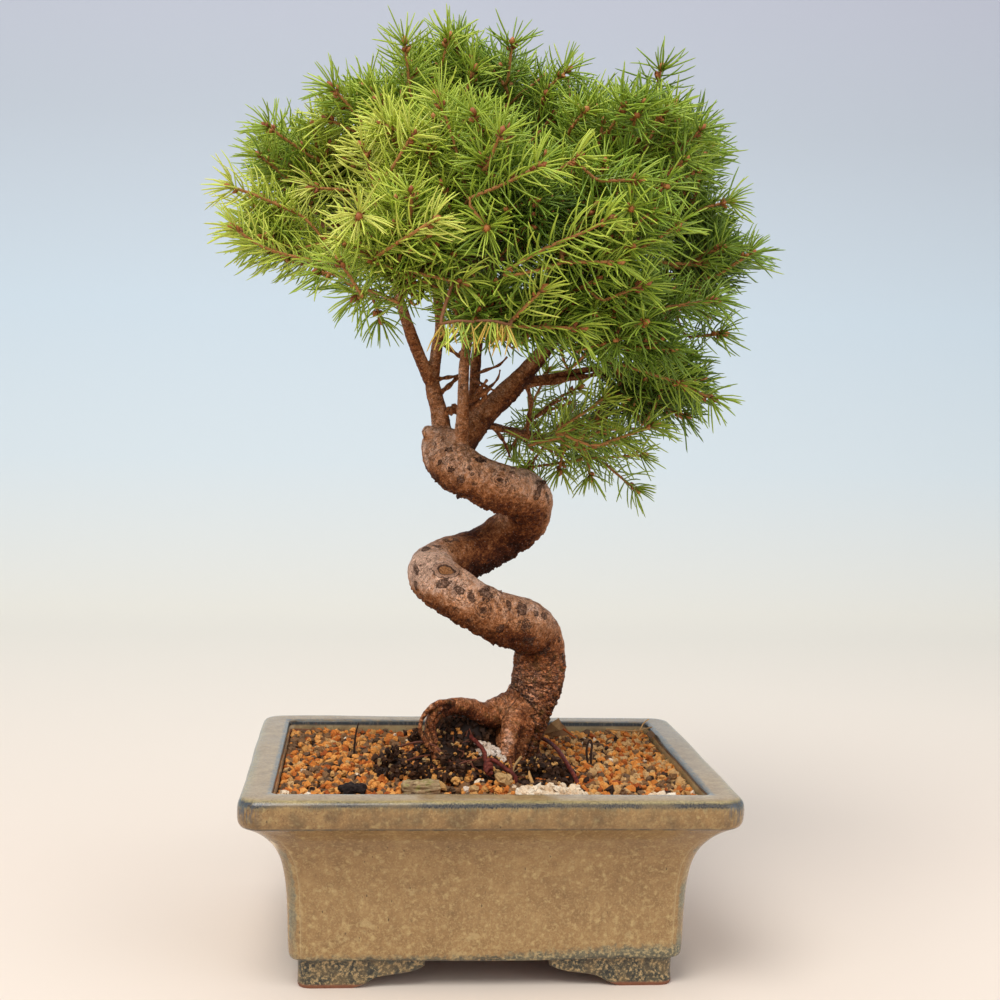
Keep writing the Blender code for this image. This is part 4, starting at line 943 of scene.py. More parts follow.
# rust pinholes, dark specks and short scratches
pin = T.math("MULTIPLY", T.ramp(T.voronoi(P, 0.36), (0.040, 1.0), (0.085, 0.0)), T.ramp(T.noise(P, 0.06, 2.0), (0.46, 0.0), (0.58, 1.0)))
body = T.mix(T.math("MULTIPLY", pin, 0.85), body, (0.115, 0.045, 0.020))
rust_at = T.math("MULTIPLY", T.node("MapRange", p_clamp=True, Value=Z, From_Min=55.0, From_Max=66.0).outputs[0], T.node("MapRange", p_clamp=True, Value=X, From_Min=-42.0, From_Max=-62.0).outputs[0])
rust = T.math("MULTIPLY", T.ramp(T.noise(P, 0.9, 3.0, 0.7), (0.60, 0.0), (0.66, 1.0)), rust_at)
body = T.mix(T.math("MULTIPLY", rust, 0.7), body, (0.115, 0.045, 0.020))
hair_co = T.node("VectorMath", p_operation="MULTIPLY", i0=P)
hair_co.inputs[1].default_value = (0.9, 0.9, 0.28)
hair = T.ramp(T.voronoi(hair_co.outputs[0], 0.30), (0.028, 1.0), (0.055, 0.0))
body = T.mix(T.math("MULTIPLY", hair, 0.6), body, (0.085, 0.060, 0.035))
# painted shadow: a thin dark line along the underside of the rim
rim_underside_shadow = T.node("MapRange", p_clamp=True, Value=T.math("ABSOLUTE", T.math("SUBTRACT", Z, 70.6)), From_Min=0.75, From_Max=0.15).outputs[0]
rim_shadow_gate = T.ramp(T.noise(P, 0.22, 2.0), (0.34, 0.35), (0.6, 1.0))
body = T.mix(T.math("MULTIPLY", T.math("MULTIPLY", rim_underside_shadow, rim_shadow_gate), T.node("MapRange", p_clamp=True, Value=d_rim, From_Min=-5.0, From_Max=-3.5).outputs[0]), body, (0.085, 0.070, 0.050))
# bare clay: foot soles, drain holes, under the floor, and the inside
clay = T.mix(grain, (0.150, 0.050, 0.024), (0.32, 0.125, 0.062))
bare = T.node("MapRange", p_clamp=True, Value=T.math("ADD", Z, T.math("MULTIPLY", grain, 1.2)), From_Min=2.6, From_Max=1.8).outputs[0]
inside_low = T.node("MapRange", p_clamp=True, Value=d_rim, From_Min=-12.6, From_Max=-13.4).outputs[0]
inside_z = T.node("MapRange", p_clamp=True, Value=T.math("ADD", Z, T.math("MULTIPLY", cloud, 3.0)), From_Min=79.6, From_Max=79.0).outputs[0]
not_wall = T.node("MapRange", p_clamp=True, Value=Z, From_Min=12.4, From_Max=13.4).outputs[0]
inside_low = T.math("MULTIPLY", T.math("MULTIPLY", inside_low, inside_z), not_wall)
left_back = T.math("MULTIPLY", T.node("MapRange", p_clamp=True, Value=X, From_Min=-58.0, From_Max=-70.0).outputs[0], T.node("MapRange", p_clamp=True, Value=Y, From_Min=20.0, From_Max=45.0).outputs[0])
deep = T.node("MapRange", p_clamp=True, Value=Z, From_Min=76.6, From_Max=75.8).outputs[0]
within = T.ramp(T.attr("within"), (0.4, 0.0), (0.6, 1.0))
wall_clay = T.math("MULTIPLY", T.math("MULTIPLY", inside_low, within), T.math("MAXIMUM", left_back, deep))
# painted light: the inner left wall, which the lamps leave dim, is made a pale cream
left_wall = T.node("MapRange", p_clamp=True, Value=X, From_Min=-84.0, From_Max=-86.0).outputs[0]
cream_painted_light_mask = T.math("MULTIPLY", T.math("MULTIPLY", T.math("MULTIPLY", inside, left_wall), T.node("MapRange", p_clamp=True, Value=Z, From_Min=80.1, From_Max=79.3).outputs[0]), T.ramp(mid, (0.30, 0.70), (0.60, 0.95)))
body = T.mix(cream_painted_light_mask, body, (0.700, 0.560, 0.360))
body = T.mix(T.math("MAXIMUM", bare, wall_clay), body, clay)
under_m = T.ramp(T.attr("bottom"), (0.4, 0.0), (0.6, 1.0))
body = T.mix(under_m, body, T.mix(grain, (0.150, 0.036, 0.012), (0.26, 0.080, 0.030)))
rough = T.math("ADD", T.math("MULTIPLY", T.math("MAXIMUM", bare, wall_clay), 0.55), T.math("ADD", T.math("MULTIPLY", grain, 0.16), 0.16))
height = T.math("ADD", T.math("MULTIPLY", mid, 0.8), T.math("MULTIPLY", grain, 0.20))
GLAZE = T.out(Base_Color=body, Roughness=rough, Specular_IOR_Level=0.42, Coat_Weight=0.16, Coat_Roughness=0.10, Normal=T.bump(height, 0.35, 0.35))
mesh.materials.append(GLAZE)
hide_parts("pot")
print("pot triangles", sum(len(p.vertices) - 2 for p in mesh.polygons))


# ================================================================ soil
FLOOR_TOP, SOIL_EDGE, SOIL_CROWN = 18.0, 76.5, 2.0
MOUND = (-9.0, -14.0, 37.0, 27.0)


def inner_half(z):
    rows = sorted(INNER)
    return np.interp(z, [r[0] for r in rows], [r[1] for r in rows]), np.interp(z, [r[0] for r in rows], [r[2] for r in rows])


def soil_height(x, y):
    x, y = np.asarray(x, float), np.asarray(y, float)
    d = np.hypot(x / 86, y / 69)
    return SOIL_EDGE + SOIL_CROWN * np.maximum(0, 1 - d * d) + 0.5 * np.sin(0.13 * x + 1.0) * np.cos(0.11 * y) * np.maximum(0, 1 - d ** 6)


def mound_share(x, y):
    """0 at the middle of the old root ball, 1 at its edge."""
    u, v = (np.asarray(x, float) - MOUND[0]) / MOUND[2], (np.asarray(y, float) - MOUND[1]) / MOUND[3]
    t = np.arctan2(v, u)
    return np.hypot(u, v) / (1 + 0.05 * np.sin(3 * t + 1) + 0.04 * np.sin(5 * t))


def mound_height(x, y):
    x, y = np.asarray(x, float), np.asarray(y, float)
    lump = 1.1 * np.sin(0.31 * x + 0.5) * np.sin(0.27 * y) + 0.5 * np.sin(0.7 * x) * np.cos(0.6 * y)
    peak = 9.0 * np.exp(-(((x + 12) / 22) ** 2) - ((y + 8) / 20) ** 2)
    ridge = 22.0 * smooth(1.3, 0.45, np.hypot((x + 7) / 21, (y - 3) / 11.5))  # soil held behind and under the arched root
    d = mound_share(x, y)
    h = 78.3 + (1 - np.minimum(1, d) ** 2.5) * (2.4 + peak + ridge + lump)
    return np.where(h > 96, 96 + (h - 96) * 0.3, h)


def spin(rng, n):
    """n random rotations."""
    q = unit(rng.normal(0, 1, (n, 4)))
    w, x, y, z = q.T
    return np.stack([
        np.stack([1 - 2 * (y * y + z * z), 2 * (x * y - z * w), 2 * (x * z + y * w)], -1),
        np.stack([2 * (x * y + z * w), 1 - 2 * (x * x + z * z), 2 * (y * z - x * w)], -1),
        np.stack([2 * (x * z - y * w), 2 * (y * z + x * w), 1 - 2 * (x * x + y * y)], -1)], 1)


def round_shape(seg, rows):
    """A ball of seg by rows: vertices and triangles or quads."""
    verts = [(0, 0, 1)]
    for i in range(1, rows):
        t = math.pi * i / rows
        for j in range(seg):
            p = 2 * math.pi * (j + 0.5 * (i % 2)) / seg
            verts.append((math.sin(t) * math.cos(p), math.sin(t) * math.sin(p), math.cos(t)))
    verts.append((0, 0, -1))
    tris = []
    for j in range(seg):
        m = (j + 1) % seg
        tris.append((0, 1 + j, 1 + m))
        last = 1 + (rows - 2) * seg
        tris.append((last + m, last + j, len(verts) - 1))
    for i in range(rows - 2):
        a, b = 1 + i * seg, 1 + (i + 1) * seg
        for j in range(seg):
            m = (j + 1) % seg
            if i % 2 == 0:
                tris += [(a + j, b + j, a + m), (a + m, b + j, b + m)]
            else:
                tris += [(a + j, b + j, b + m), (a + j, b + m, a + m)]
    return np.array(verts, float), np.array(tris)


class Grains:
    """Many small stones in one mesh with its finish in the UV map: tint across, place on the stone up."""

    def __init__(self, seed):
        self.rng = np.random.default_rng(seed)
        self.v, self.f, self.uv, self.n = [], [], [], 0

    def add(self, centres, radii, tint, squash=(0.8, 1.2), seg=6, rows=4, rough=0.16, flat=None):
        rng = self.rng
        base, tris = round_shape(seg, rows)
        n, m = len(centres), len(base)
        if n == 0:
            return
        shape = base[None] * np.clip(1 + rng.normal(0, rough, (n, m, 1)), 0.4, 1.7)
        corner = unit(rng.normal(0, 1, (n, 5, 3)))
        for k in range(5):  # chips knocked off make them angular
            h = (shape * corner[:, None, k]).sum(-1, keepdims=True)
            shape = shape - corner[:, None, k] * np.maximum(0, h - 0.64) * 0.92
        shape = shape * rng.uniform(*squash, (n, 1, 3))
        R = spin(rng, n)
        shape = np.einsum("nij,nmj->nmi", R, shape)
        if flat is not None:
            shape[..., 2] *= flat
        verts = centres[:, None] + shape * np.asarray(radii)[:, None, None]
        start = (np.arange(n) * m)[:, None, None] + self.n
        faces = (tris[None] + start).reshape(-1, 3)
        side = shape[..., 0] * 0.5 + shape[..., 2] * 0.5
        v0 = rng.uniform(0.12, 0.88, (n, 1))
        u = np.asarray(tint)[:, None] + 0.006 * np.sin(shape[..., 0] * 3 + shape[..., 1] * 2)
        v = v0 + 0.10 * side / np.maximum(np.abs(side).max(1, keepdims=True), 1e-6)
        uv = np.stack([u, v], -1)
        self.uv.append(uv[np.arange(n)[:, None, None], tris[None]].reshape(-1, 2))
        self.v.append(verts.reshape(-1, 3))
        self.f.append(faces)
        self.n += n * m

    def raw(self, verts, faces, uv):
        """faces: triangles; uv: one pair for each corner."""
        self.f.append(np.asarray(faces) + self.n)
        self.v.append(np.asarray(verts, float))
        self.uv.append(np.asarray(uv, float).reshape(-1, 2))
        self.n += len(verts)

    def tube(self, rows, tint, sides=6, per=3):
        verts, faces = tube_parts(rows, sides, per)
        tris = []
        for f in faces:
            tris += [f] if len(f) == 3 else [(f[0], f[1], f[2]), (f[0], f[2], f[3])]
        tris = np.array(tris)
        k = np.arange(len(verts)) / len(verts)
        u = tint + 0.006 * np.sin(np.arange(len(verts)) * 2.1)
        v = 0.1 + 0.8 * ((k * 1.7) % 1.0)
        self.raw(verts, tris, np.stack([u, v], -1)[tris])

    def build(self, name):
        v = np.concatenate(self.v) * MM
        f = np.concatenate(self.f)
        uv = np.clip(np.concatenate(self.uv), 0.002, 0.998)
        mesh = bpy.data.meshes.new(name)
        mesh.vertices.add(len(v))
        mesh.vertices.foreach_set("co", v.astype(np.float32).ravel())
        mesh.loops.add(len(f) * 3)
        mesh.loops.foreach_set("vertex_index", f.astype(np.int32).ravel())
        mesh.polygons.add(len(f))
        mesh.polygons.foreach_set("loop_start", (np.arange(len(f)) * 3).astype(np.int32))
        mesh.update(calc_edges=True)
        layer = mesh.uv_layers.new(name="OFBake")
        layer.uv.foreach_set("vector", uv.astype(np.float32).ravel())
        mesh.shade_smooth()
        mesh.set_sharp_from_angle(angle=0.72)
        print(name, "triangles", len(f))
        return mesh


# tints: 0-0.12 dark bed, 0.2-0.62 orange to tan clay, 0.66-0.8 grey brown, 0.84-0.88 dark, 0.92-1 white pumice
def clay_tint(rng, n):
    kind = rng.uniform(0, 1, n)
    t = np.where(kind < 0.58, rng.uniform(0.19, 0.46, n), rng.uniform(0.46, 0.62, n))
    t = np.where(kind > 0.75, rng.uniform(0.66, 0.81, n), t)
    t = np.where(kind > 0.965, rng.uniform(0.84, 0.88, n), t)
    return t


trunk_paths = np.concatenate([catmull(TRUNK[:5], 6)] + [catmull(r, 6) for r in ROOTS.values()])


def clear_of_wood(p, extra=0.0):
    d = np.linalg.norm(p[:, None] - trunk_paths[None, :, :3], axis=2) - trunk_paths[None, :, 3]
    return d.min(1) > extra


bed = Grains(77)
rng = bed.rng
# closed body of the bed
levels = (18.3, 21.0, 30.0, 44.0, 55.0, 62.0, 68.0, SOIL_EDGE - 0.9)
rings = []
for z in levels:
    a, r = inner_half(z)
    rings.append([(x, y, z) for x, y in rounded(a - 0.35, a - 0.35 - SKEW, r, 3, 5, 4)])
top = np.array(rings[-1])
for k in range(1, 12):
    s = 1 - k / 12
    rings.append([(x * s, y * s, float(soil_height(x * s, y * s)) - 0.9) for x, y, _ in top])
verts, faces = loft_faces(rings)
verts = np.array(verts)
tris = []
for f in faces:
    tris += [(f[0], f[i], f[i + 1]) for i in range(1, len(f) - 1)]
tris = np.array(tris)
u = 0.02 + 0.08 * (verts[:, 0] + 90) / 180
v = np.clip((verts[:, 1] + 75) / 150 + (verts[:, 2] - 60) / 400, 0.03, 0.97)
bed.raw(verts, tris, np.stack([u, v], -1)[tris])
# grains, in staggered rows
pitch = 2.85
a_top, _ = inner_half(SOIL_EDGE)
pts = []
for j, y in enumerate(np.arange(-(a_top - SKEW), a_top - SKEW, pitch * 0.866)):
    for x in np.arange(-a_top + (pitch / 2 if j % 2 else 0), a_top, pitch):
        pts.append((x, y))
pts = np.array(pts) + rng.normal(0, 0.5, (len(pts), 2))
size = np.clip(rng.normal(1.68, 0.42, len(pts)), 0.9, 2.8)
lim_x, lim_y = a_top - 0.2 - size, a_top - SKEW - 0.2 - size
pts[:, 0] = np.clip(pts[:, 0], -lim_x, lim_x)
pts[:, 1] = np.clip(pts[:, 1], -lim_y, lim_y)
z = soil_height(pts[:, 0], pts[:, 1]) + rng.uniform(-1.2, 0.8, len(pts))
centres = np.column_stack([pts, z])
keep = clear_of_wood(centres, 0.2) & (mound_share(pts[:, 0], pts[:, 1]) > 0.90)
tint = clay_tint(rng, len(pts))
grey = (rng.uniform(0, 1, len(pts)) < 0.10 + 0.10 * smooth(30, -80, pts[:, 0])) & (tint < 0.62)
tint = np.where(grey, rng.uniform(0.66, 0.82, len(pts)), tint)
lighter = (rng.uniform(0, 1, len(pts)) < 0.30 * smooth(-10, 60, pts[:, 0])) & (tint < 0.84)
tint = np.where(lighter, rng.uniform(0.56, 0.62, len(pts)), tint)
# dark peat has strayed to the right of the trunk and beside the old root ball
dark = np.exp(-(((pts[:, 0] - 27) / 10) ** 2) - (((pts[:, 1] + 22) / 16) ** 2)) + 0.9 * np.exp(-(((pts[:, 0] + 40) / 9) ** 2) - (((pts[:, 1] + 20) / 15) ** 2))
tint = np.where(rng.uniform(0, 1, len(pts)) < dark, rng.uniform(0.82, 0.88, len(pts)), tint)
front_edge = -(a_top - SKEW)
white = (np.abs(pts[:, 0] - 23) < 12.5) & (pts[:, 1] < -47)
white |= (pts[:, 0] < -73) & (pts[:, 1] < -54) & (rng.uniform(0, 1, len(pts)) < 0.55)
white |= (pts[:, 0] > 60) & (pts[:, 1] < -50) & (rng.uniform(0, 1, len(pts)) < 0.14)
tint = np.where(white, rng.uniform(0.93, 0.985, len(pts)), tint)
tint = np.where(rng.uniform(0, 1, len(pts)) < 0.008, rng.uniform(0.92, 0.97, len(pts)), tint)
size = np.where(white, size * 1.12, size)
centres[:, 2] += np.where(white, 0.7, 0)
bed.add(centres[keep], size[keep], tint[keep])
# loose grains lying on top
n = 300
p = np.column_stack([rng.uniform(-a_top + 3, a_top - 3, n), rng.uniform(-(a_top - SKEW) + 3, a_top - SKEW - 3, n)])
c = np.column_stack([p, soil_height(p[:, 0], p[:, 1]) + rng.uniform(1.0, 1.9, n)])
ok = clear_of_wood(c, 0.3) & (mound_share(p[:, 0], p[:, 1]) > 0.98)
bed.add(c[ok], np.clip(rng.normal(1.45, 0.35, n), 0.8, 2.3)[ok], clay_tint(rng, n)[ok])
# white pumice in front, heaped
n = 32
p = np.column_stack([rng.uniform(11, 37, n), rng.uniform(-64, -50, n)])
bed.add(np.column_stack([p, soil_height(p[:, 0], p[:, 1]) + rng.uniform(1.2, 2.8, n)]), rng.uniform(1.7, 2.9, n), rng.uniform(0.93, 0.975, n), squash=(0.70, 1.3))
# twigs and dead leaves that stand in the soil
stick = [(*at(354, 756, 12), 0.55), (*at(354.5, 745, 12.5), 0.5), (*at(356, 733, 13), 0.42), (*at(358.5, 723, 13.5), 0.32)]
bed.tube(stick, 0.86)
loop = [(*at(587.5, 762, -8), 0.6), (*at(586.5, 752, -8), 0.55), (*at(588, 743, -7), 0.5), (*at(590.5, 740, -7), 0.45), (*at(592, 745, -8), 0.5), (*at(591, 753, -9), 0.5), (*at(591, 764, -9), 0.5)]
bed.tube(loop, 0.85)
bed.tube([(*at(606, 729, 52), 0.4), (*at(634, 731, 50), 0.35), (*at(652, 727, 48), 0.3)], 0.64)
bed.tube([(*at(638, 735, 50), 0.45), (*at(643, 724, 52), 0.3), (*at(649, 719, 53), 0.2)], 0.58)
bed.tube([(*at(533, 784, -40), 0.7), (*at(530, 777, -38), 0.75), (*at(529, 771, -36), 0.3)], 0.56)


def leaf(grains, centre, ax, ay, lift, tint, n=7):
    """A curled dead leaf: a thin closed sheet."""
    ax, ay = np.array(ax, float), np.array(ay, float)
    nor = unit(np.cross(ax, ay))
    verts, tris = [], []
    for side in (0, 1):
        for i in range(n):
            s = -1 + 2 * i / (n - 1)
            w = max(0.05, 1 - abs(s) ** 1.6) ** 0.9
            for t in (-1, 0, 1):
                p = np.array(centre) + ax * s + ay * t * w + nor * (lift * (s * s + 0.7 * t * t * w) + (0.25 if side else 0.0))
                verts.append(p)
    def idx(side, i, t):
        return side * n * 3 + i * 3 + t
    for i in range(n - 1):
        for t in (0, 1):
            a, b, c, d = idx(0, i, t), idx(0, i, t + 1), idx(0, i + 1, t + 1), idx(0, i + 1, t)
            tris += [(a, c, b), (a, d, c)]
            a, b, c, d = idx(1, i, t), idx(1, i, t + 1), idx(1, i + 1, t + 1), idx(1, i + 1, t)
            tris += [(a, b, c), (a, c, d)]
        for t, flip in ((0, 1), (2, 0)):
            a, b, c, d = idx(0, i, t), idx(0, i + 1, t), idx(1, i + 1, t), idx(1, i, t)
            tris += [(a, b, c), (a, c, d)] if flip else [(a, c, b), (a, d, c)]
    for i, flip in ((0, 0), (n - 1, 1)):
        for t in (0, 1):
            a, b, c, d = idx(0, i, t), idx(0, i, t + 1), idx(1, i, t + 1), idx(1, i, t)
            tris += [(a, b, c), (a, c, d)] if flip else [(a, c, b), (a, d, c)]
    verts, tris = np.array(verts), np.array(tris)
    k = np.arange(len(verts))
    uv = np.stack([tint + 0.006 * np.sin(k), 0.3 + 0.3 * ((k % (n * 3)) / (n * 3))], -1)
    grains.raw(verts, tris, uv[tris])




def sheet(grains, outline, y, thick, tint, bulge=0.0):
    """A thin closed sheet with an outline given in pixels, folded a little along its middle."""
    pts = np.array([at(px, py, y + dy) for px, py, dy in outline])
    n = len(pts)
    mid = pts.mean(0) + np.array([0, -bulge, 0])
    back = np.array([0, thick, 0])
    verts = np.concatenate([pts, [mid], pts + back, [mid + back]])
    tris = []
    for i in range(n):
        j = (i + 1) % n
        tris += [(j, i, n), (n + 1 + i, n + 1 + j, 2 * n + 1), (i, j, n + 1 + j), (i, n + 1 + j, n + 1 + i)]
    tris = np.array(tris)
    k = np.arange(len(verts))
    uv = np.stack([tint + 0.012 * np.sin(k * 1.7), 0.25 + 0.4 * (k % (n + 1)) / (n + 1)], -1)
    grains.raw(verts, tris, uv[tris])


sheet(bed, [(542.5, 734.0, 0.0), (546.0, 728.0, 1.0), (551.0, 723.0, 0.0), (559.0, 718.0, 2.0), (561.5, 723.5, 0.0), (565.5, 727.0, -1.0), (569.0, 731.5, 1.0), (573.0, 735.5, 0.0), (565.0, 734.5, -1.5), (556.0, 737.5, 0.0)], 17.0, 0.4, 0.655, 2.4)
sheet(bed, [(549.0, 736.0, 0.0), (556.0, 731.0, -1.0), (565.0, 729.5, 0.0), (574.0, 734.0, 1.0), (562.0, 736.0, -1.0)], 15.0, 0.4, 0.70, 0.8)
bed.tube([(*at(563, 729, 9), 0.5), (*at(569, 733, 8), 0.45), (*at(576, 738, 7), 0.3)], 0.19)
leaf(bed, at(650, 735, 44), (2.2, 0.6, -0.6), (0.4, 1.5, 1.4), 0.8, 0.78)
mesh = bed.build("grain_bed")
T = Tree("grains")
uvn = T.node("UVMap", p_uv_map="OFBake")
sep = T.node("SeparateXYZ", Vector=uvn)
tone = T.ramp(sep.outputs[0], (0.0, (0.022, 0.013, 0.007)), (0.12, (0.050, 0.027, 0.012)), (0.19, (0.34, 0.080, 0.018)), (0.27, (0.56, 0.170, 0.032)), (0.36, (0.70, 0.270, 0.055)), (0.44, (0.74, 0.350, 0.095)), (0.53, (0.52, 0.255, 0.075)), (0.62, (0.60, 0.380, 0.170)), (0.66, (0.27, 0.135, 0.055)), (0.74, (0.19, 0.105, 0.052)), (0.81, (0.12, 0.072, 0.043)), (0.84, (0.042, 0.022, 0.014)), (0.89, (0.022, 0.012, 0.008)), (0.92, (0.66, 0.46, 0.28)), (0.955, (0.78, 0.63, 0.45)), (0.985, (0.86, 0.76, 0.61)))
spot = T.noise(T.coords(1.0, "UV"), 70.0, 3.0, 0.65)
shade = T.ramp(spot, (0.30, 0.62), (0.50, 1.0), (0.72, 1.22))
GRAINS = T.out(Base_Color=T.mix(1.0, tone, shade, "MULTIPLY"), Roughness=0.92, Specular_IOR_Level=0.2)
soil = add("grain_bed", mesh, (GRAINS,))
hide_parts("soil_bed")

# ---------------------------------------------------------------- the old root ball
old = Grains(78)
rng = old.rng
ang = np.linspace(0, 2 * math.pi, 41)[:-1]
rings = []
for s, z0 in ((1.0, 75.5), (1.0, None), (0.95, None), (0.88, None), (0.8, None), (0.72, None), (0.64, None), (0.56, None), (0.48, None), (0.4, None), (0.32, None), (0.24, None), (0.16, None), (0.08, None)):
    w = 1 + 0.05 * np.sin(3 * ang + 1) + 0.04 * np.sin(5 * ang)
    x, y = MOUND[0] + MOUND[2] * w * s * np.cos(ang), MOUND[1] + MOUND[3] * w * s * np.sin(ang)
    h = mound_height(x, y) if z0 is None else np.full(len(x), z0)
    rings.append(list(zip(x, y, h)))
verts, faces = loft_faces(rings)
verts = np.array(verts)
rough = fbm(verts, 5.0, 3, 0.6) * 1.3 * (verts[:, 2] > 76)
verts[:, 2] += rough
tris = []
for f in faces:
    tris += [(f[0], f[i], f[i + 1]) for i in range(1, len(f) - 1)]
tris = np.array(tris)
u = 0.03 + 0.10 * (verts[:, 0] + 50) / 90
v = np.clip((verts[:, 1] + 45) / 62, 0.03, 0.97)
old.raw(verts, tris, np.stack([u, v], -1)[tris])


def on_mound(n, s_max=1.0):
    t, r = rng.uniform(0, 2 * math.pi, n), np.sqrt(rng.uniform(0, 1, n)) * s_max
    x, y = MOUND[0] + MOUND[2] * r * np.cos(t), MOUND[1] + MOUND[3] * r * np.sin(t)
    return np.column_stack([x, y, mound_height(x, y)])


c = on_mound(560, 1.04)
c[:, 2] += rng.uniform(-0.6, 0.8, len(c))
ok = clear_of_wood(c, 0.1)
old.add(c[ok], np.clip(rng.normal(1.35, 0.55, len(c)), 0.5, 3.0)[ok], rng.uniform(0.15, 0.35, len(c))[ok], squash=(0.6, 1.35), seg=5, rows=3, rough=0.28)
# crumbs on the steep slope under the arched root
n = 260
p = np.column_stack([rng.uniform(-27, 12, n), rng.uniform(-17, 2, n)])
c = np.column_stack([p, mound_height(p[:, 0], p[:, 1]) + rng.uniform(-0.3, 0.9, n)])
c[:, 1] -= rng.uniform(0.0, 1.2, n)
ok = clear_of_wood(c, 0.0)
old.add(c[ok], np.clip(rng.normal(1.25, 0.45, n), 0.5, 2.4)[ok], rng.uniform(0.15, 0.33, n)[ok], squash=(0.6, 1.35), seg=5, rows=3, rough=0.28)
# small orange and tan grains caught in it, mostly on the front slope
c = on_mound(640, 1.02)
front = smooth(-2, -26, c[:, 1]) * (0.35 + 0.65 * smooth(-44, -22, c[:, 0]))
ok = clear_of_wood(c, 0.2) & (rng.uniform(0, 1, len(c)) < 0.16 + 0.62 * front)
c[:, 2] += rng.uniform(0.3, 1.3, len(c))
old.add(c[ok], rng.uniform(0.7, 1.4, len(c))[ok], np.where(rng.uniform(0, 1, len(c)) < 0.7, rng.uniform(0.49, 0.60, len(c)), rng.uniform(0.60, 0.80, len(c)))[ok], seg=5, rows=4)
# crumbs of peat to the right of the trunk, in front of the right root
n = 260
p = np.column_stack([rng.normal(27.5, 6.0, n), rng.normal(-24, 9.0, n)])
h = soil_height(p[:, 0], p[:, 1]) + 3.6 * np.exp(-(((p[:, 0] - 28) / 9) ** 2) - (((p[:, 1] + 22) / 12) ** 2))
c = np.column_stack([p, h + rng.uniform(-0.5, 0.7, n)])
ok = clear_of_wood(c, 0.2)
old.add(c[ok], np.clip(rng.normal(1.7, 0.6, n), 0.6, 3.2)[ok], rng.uniform(0.14, 0.30, n)[ok], squash=(0.6, 1.3), seg=5, rows=3, rough=0.25)
# white grains lodged under the arch and against the front root
n = 60
p = np.column_stack([rng.uniform(-3, 9.5, n), rng.uniform(-21, -10, n)])
h = mound_height(p[:, 0], p[:, 1])
c = np.column_stack([p, h + rng.uniform(1.2, 2.4, n)])
ok = clear_of_wood(c, 0.0)
old.add(c[ok], rng.uniform(0.9, 1.6, n)[ok], rng.uniform(0.86, 0.97, n)[ok], seg=6, rows=4)
# clods, as bunches of crumbs, and a few stones in front
for px, py, y, r in ((444, 757, -30, 3.0), (403, 768, -36, 4.0), (418, 771, -40, 3.8), (446, 776, -44, 3.0), (455, 768, -38, 3.2), (394, 752, -20, 4.0), (382, 760, -26, 3.2), (530, 765, -34, 3.6), (545, 768, -33, 4.0), (538, 760, -28, 3.4), (555, 762, -26, 3.0), (430, 742, -18, 4.0), (415, 735, -10, 4.0), (445, 728, -6, 4.0)):
    n = int(34 * r / 3)
    q = unit(rng.normal(0, 1, (n, 3))) * (rng.uniform(0.45, 1.0, n) * r)[:, None] * np.array([1.15, 1.0, 0.75])
    old.add(at(px, py, y) + q, np.clip(rng.normal(0.95, 0.35, n), 0.4, 1.9), np.where(rng.uniform(0, 1, n) < 0.1, rng.uniform(0.5, 0.72, n), rng.uniform(0.14, 0.34, n)), squash=(0.6, 1.35), seg=5, rows=3, rough=0.26)
for px, py, y, r, tint in ((503, 779, -47, 3.3, 0.70), (497, 790, -52, 1.9, 0.62), (456, 781, -47, 2.0, 0.62), (474, 789, -53, 2.4, 0.70), (441, 786, -50, 2.6, 0.66), (466, 791, -54, 1.8, 0.9), (434, 779, -46, 2.0, 0.6)):
    old.add(at(px, py, y)[None], np.array([r]), np.array([tint]), squash=(0.7, 1.3), seg=8, rows=6, rough=0.17)
# fine roots
for _ in range(46):
    c = on_mound(1, 0.95)[0]
    d = rng.uniform(0, 2 * math.pi)
    rows = []
    for k in range(6):
        r = 0.34 * (1 - k / 8)
        x, y = c[0] + math.cos(d) * k * 2.0, c[1] + math.sin(d) * k * 2.0
        d += rng.normal(0, 0.5)
        rows.append((x, y, float(mound_height(x, y)) + 0.9 + rng.normal(0, 0.5), r))
    if clear_of_wood(np.array([r[:3] for r in rows]), 0.3).all():
        old.tube(rows, rng.uniform(0.38, 0.46), sides=5, per=2)
for pts, tint, r in (
    ([(450, 771, -36), (462, 763, -36), (474, 760, -35), (482, 757, -34)], 0.40, 0.55),
    ([(437, 748, -27), (446, 757, -30), (452, 766, -34), (447, 776, -40)], 0.41, 0.6),
    ([(396, 748, -17), (408, 744, -20), (422, 742, -22), (436, 746, -24)], 0.40, 0.6),
    ([(392, 770, -34), (404, 762, -32), (417, 757, -29), (430, 755, -27)], 0.40, 0.5),
    ([(510, 760, -30), (512, 770, -36), (511, 780, -42)], 0.40, 0.5),
    ([(521, 757, -22), (515, 765, -30), (512, 773, -36), (510, 781, -43)], 0.70, 0.55),
    ([(533, 760, -20), (524, 766, -28), (514, 772, -34)], 0.80, 0.25),
):
    old.tube([(*at(*p), r * (1 - 0.12 * i)) for i, p in enumerate(pts)], tint, sides=6, per=4)
mesh = old.build("old_soil")
T = Tree("peat")
uvn = T.node("UVMap", p_uv_map="OFBake")
sep = T.node("SeparateXYZ", Vector=uvn)
tone = T.ramp(sep.outputs[0], (0.0, (0.013, 0.0055, 0.0028)), (0.14, (0.018, 0.0080, 0.0040)), (0.26, (0.046, 0.0185, 0.0080)), (0.35, (0.085, 0.036, 0.015)), (0.37, (0.12, 0.035, 0.018)), (0.47, (0.16, 0.05, 0.025)), (0.49, (0.66, 0.23, 0.045)), (0.60, (0.62, 0.31, 0.085)), (0.72, (0.42, 0.27, 0.12)), (0.80, (0.36, 0.24, 0.12)), (0.85, (0.58, 0.44, 0.32)), (0.97, (0.78, 0.68, 0.58)))
spot = T.noise(T.coords(1.0, "UV"), 60.0, 3.0, 0.65)
shade = T.ramp(spot, (0.30, 0.55), (0.50, 1.0), (0.72, 1.35))
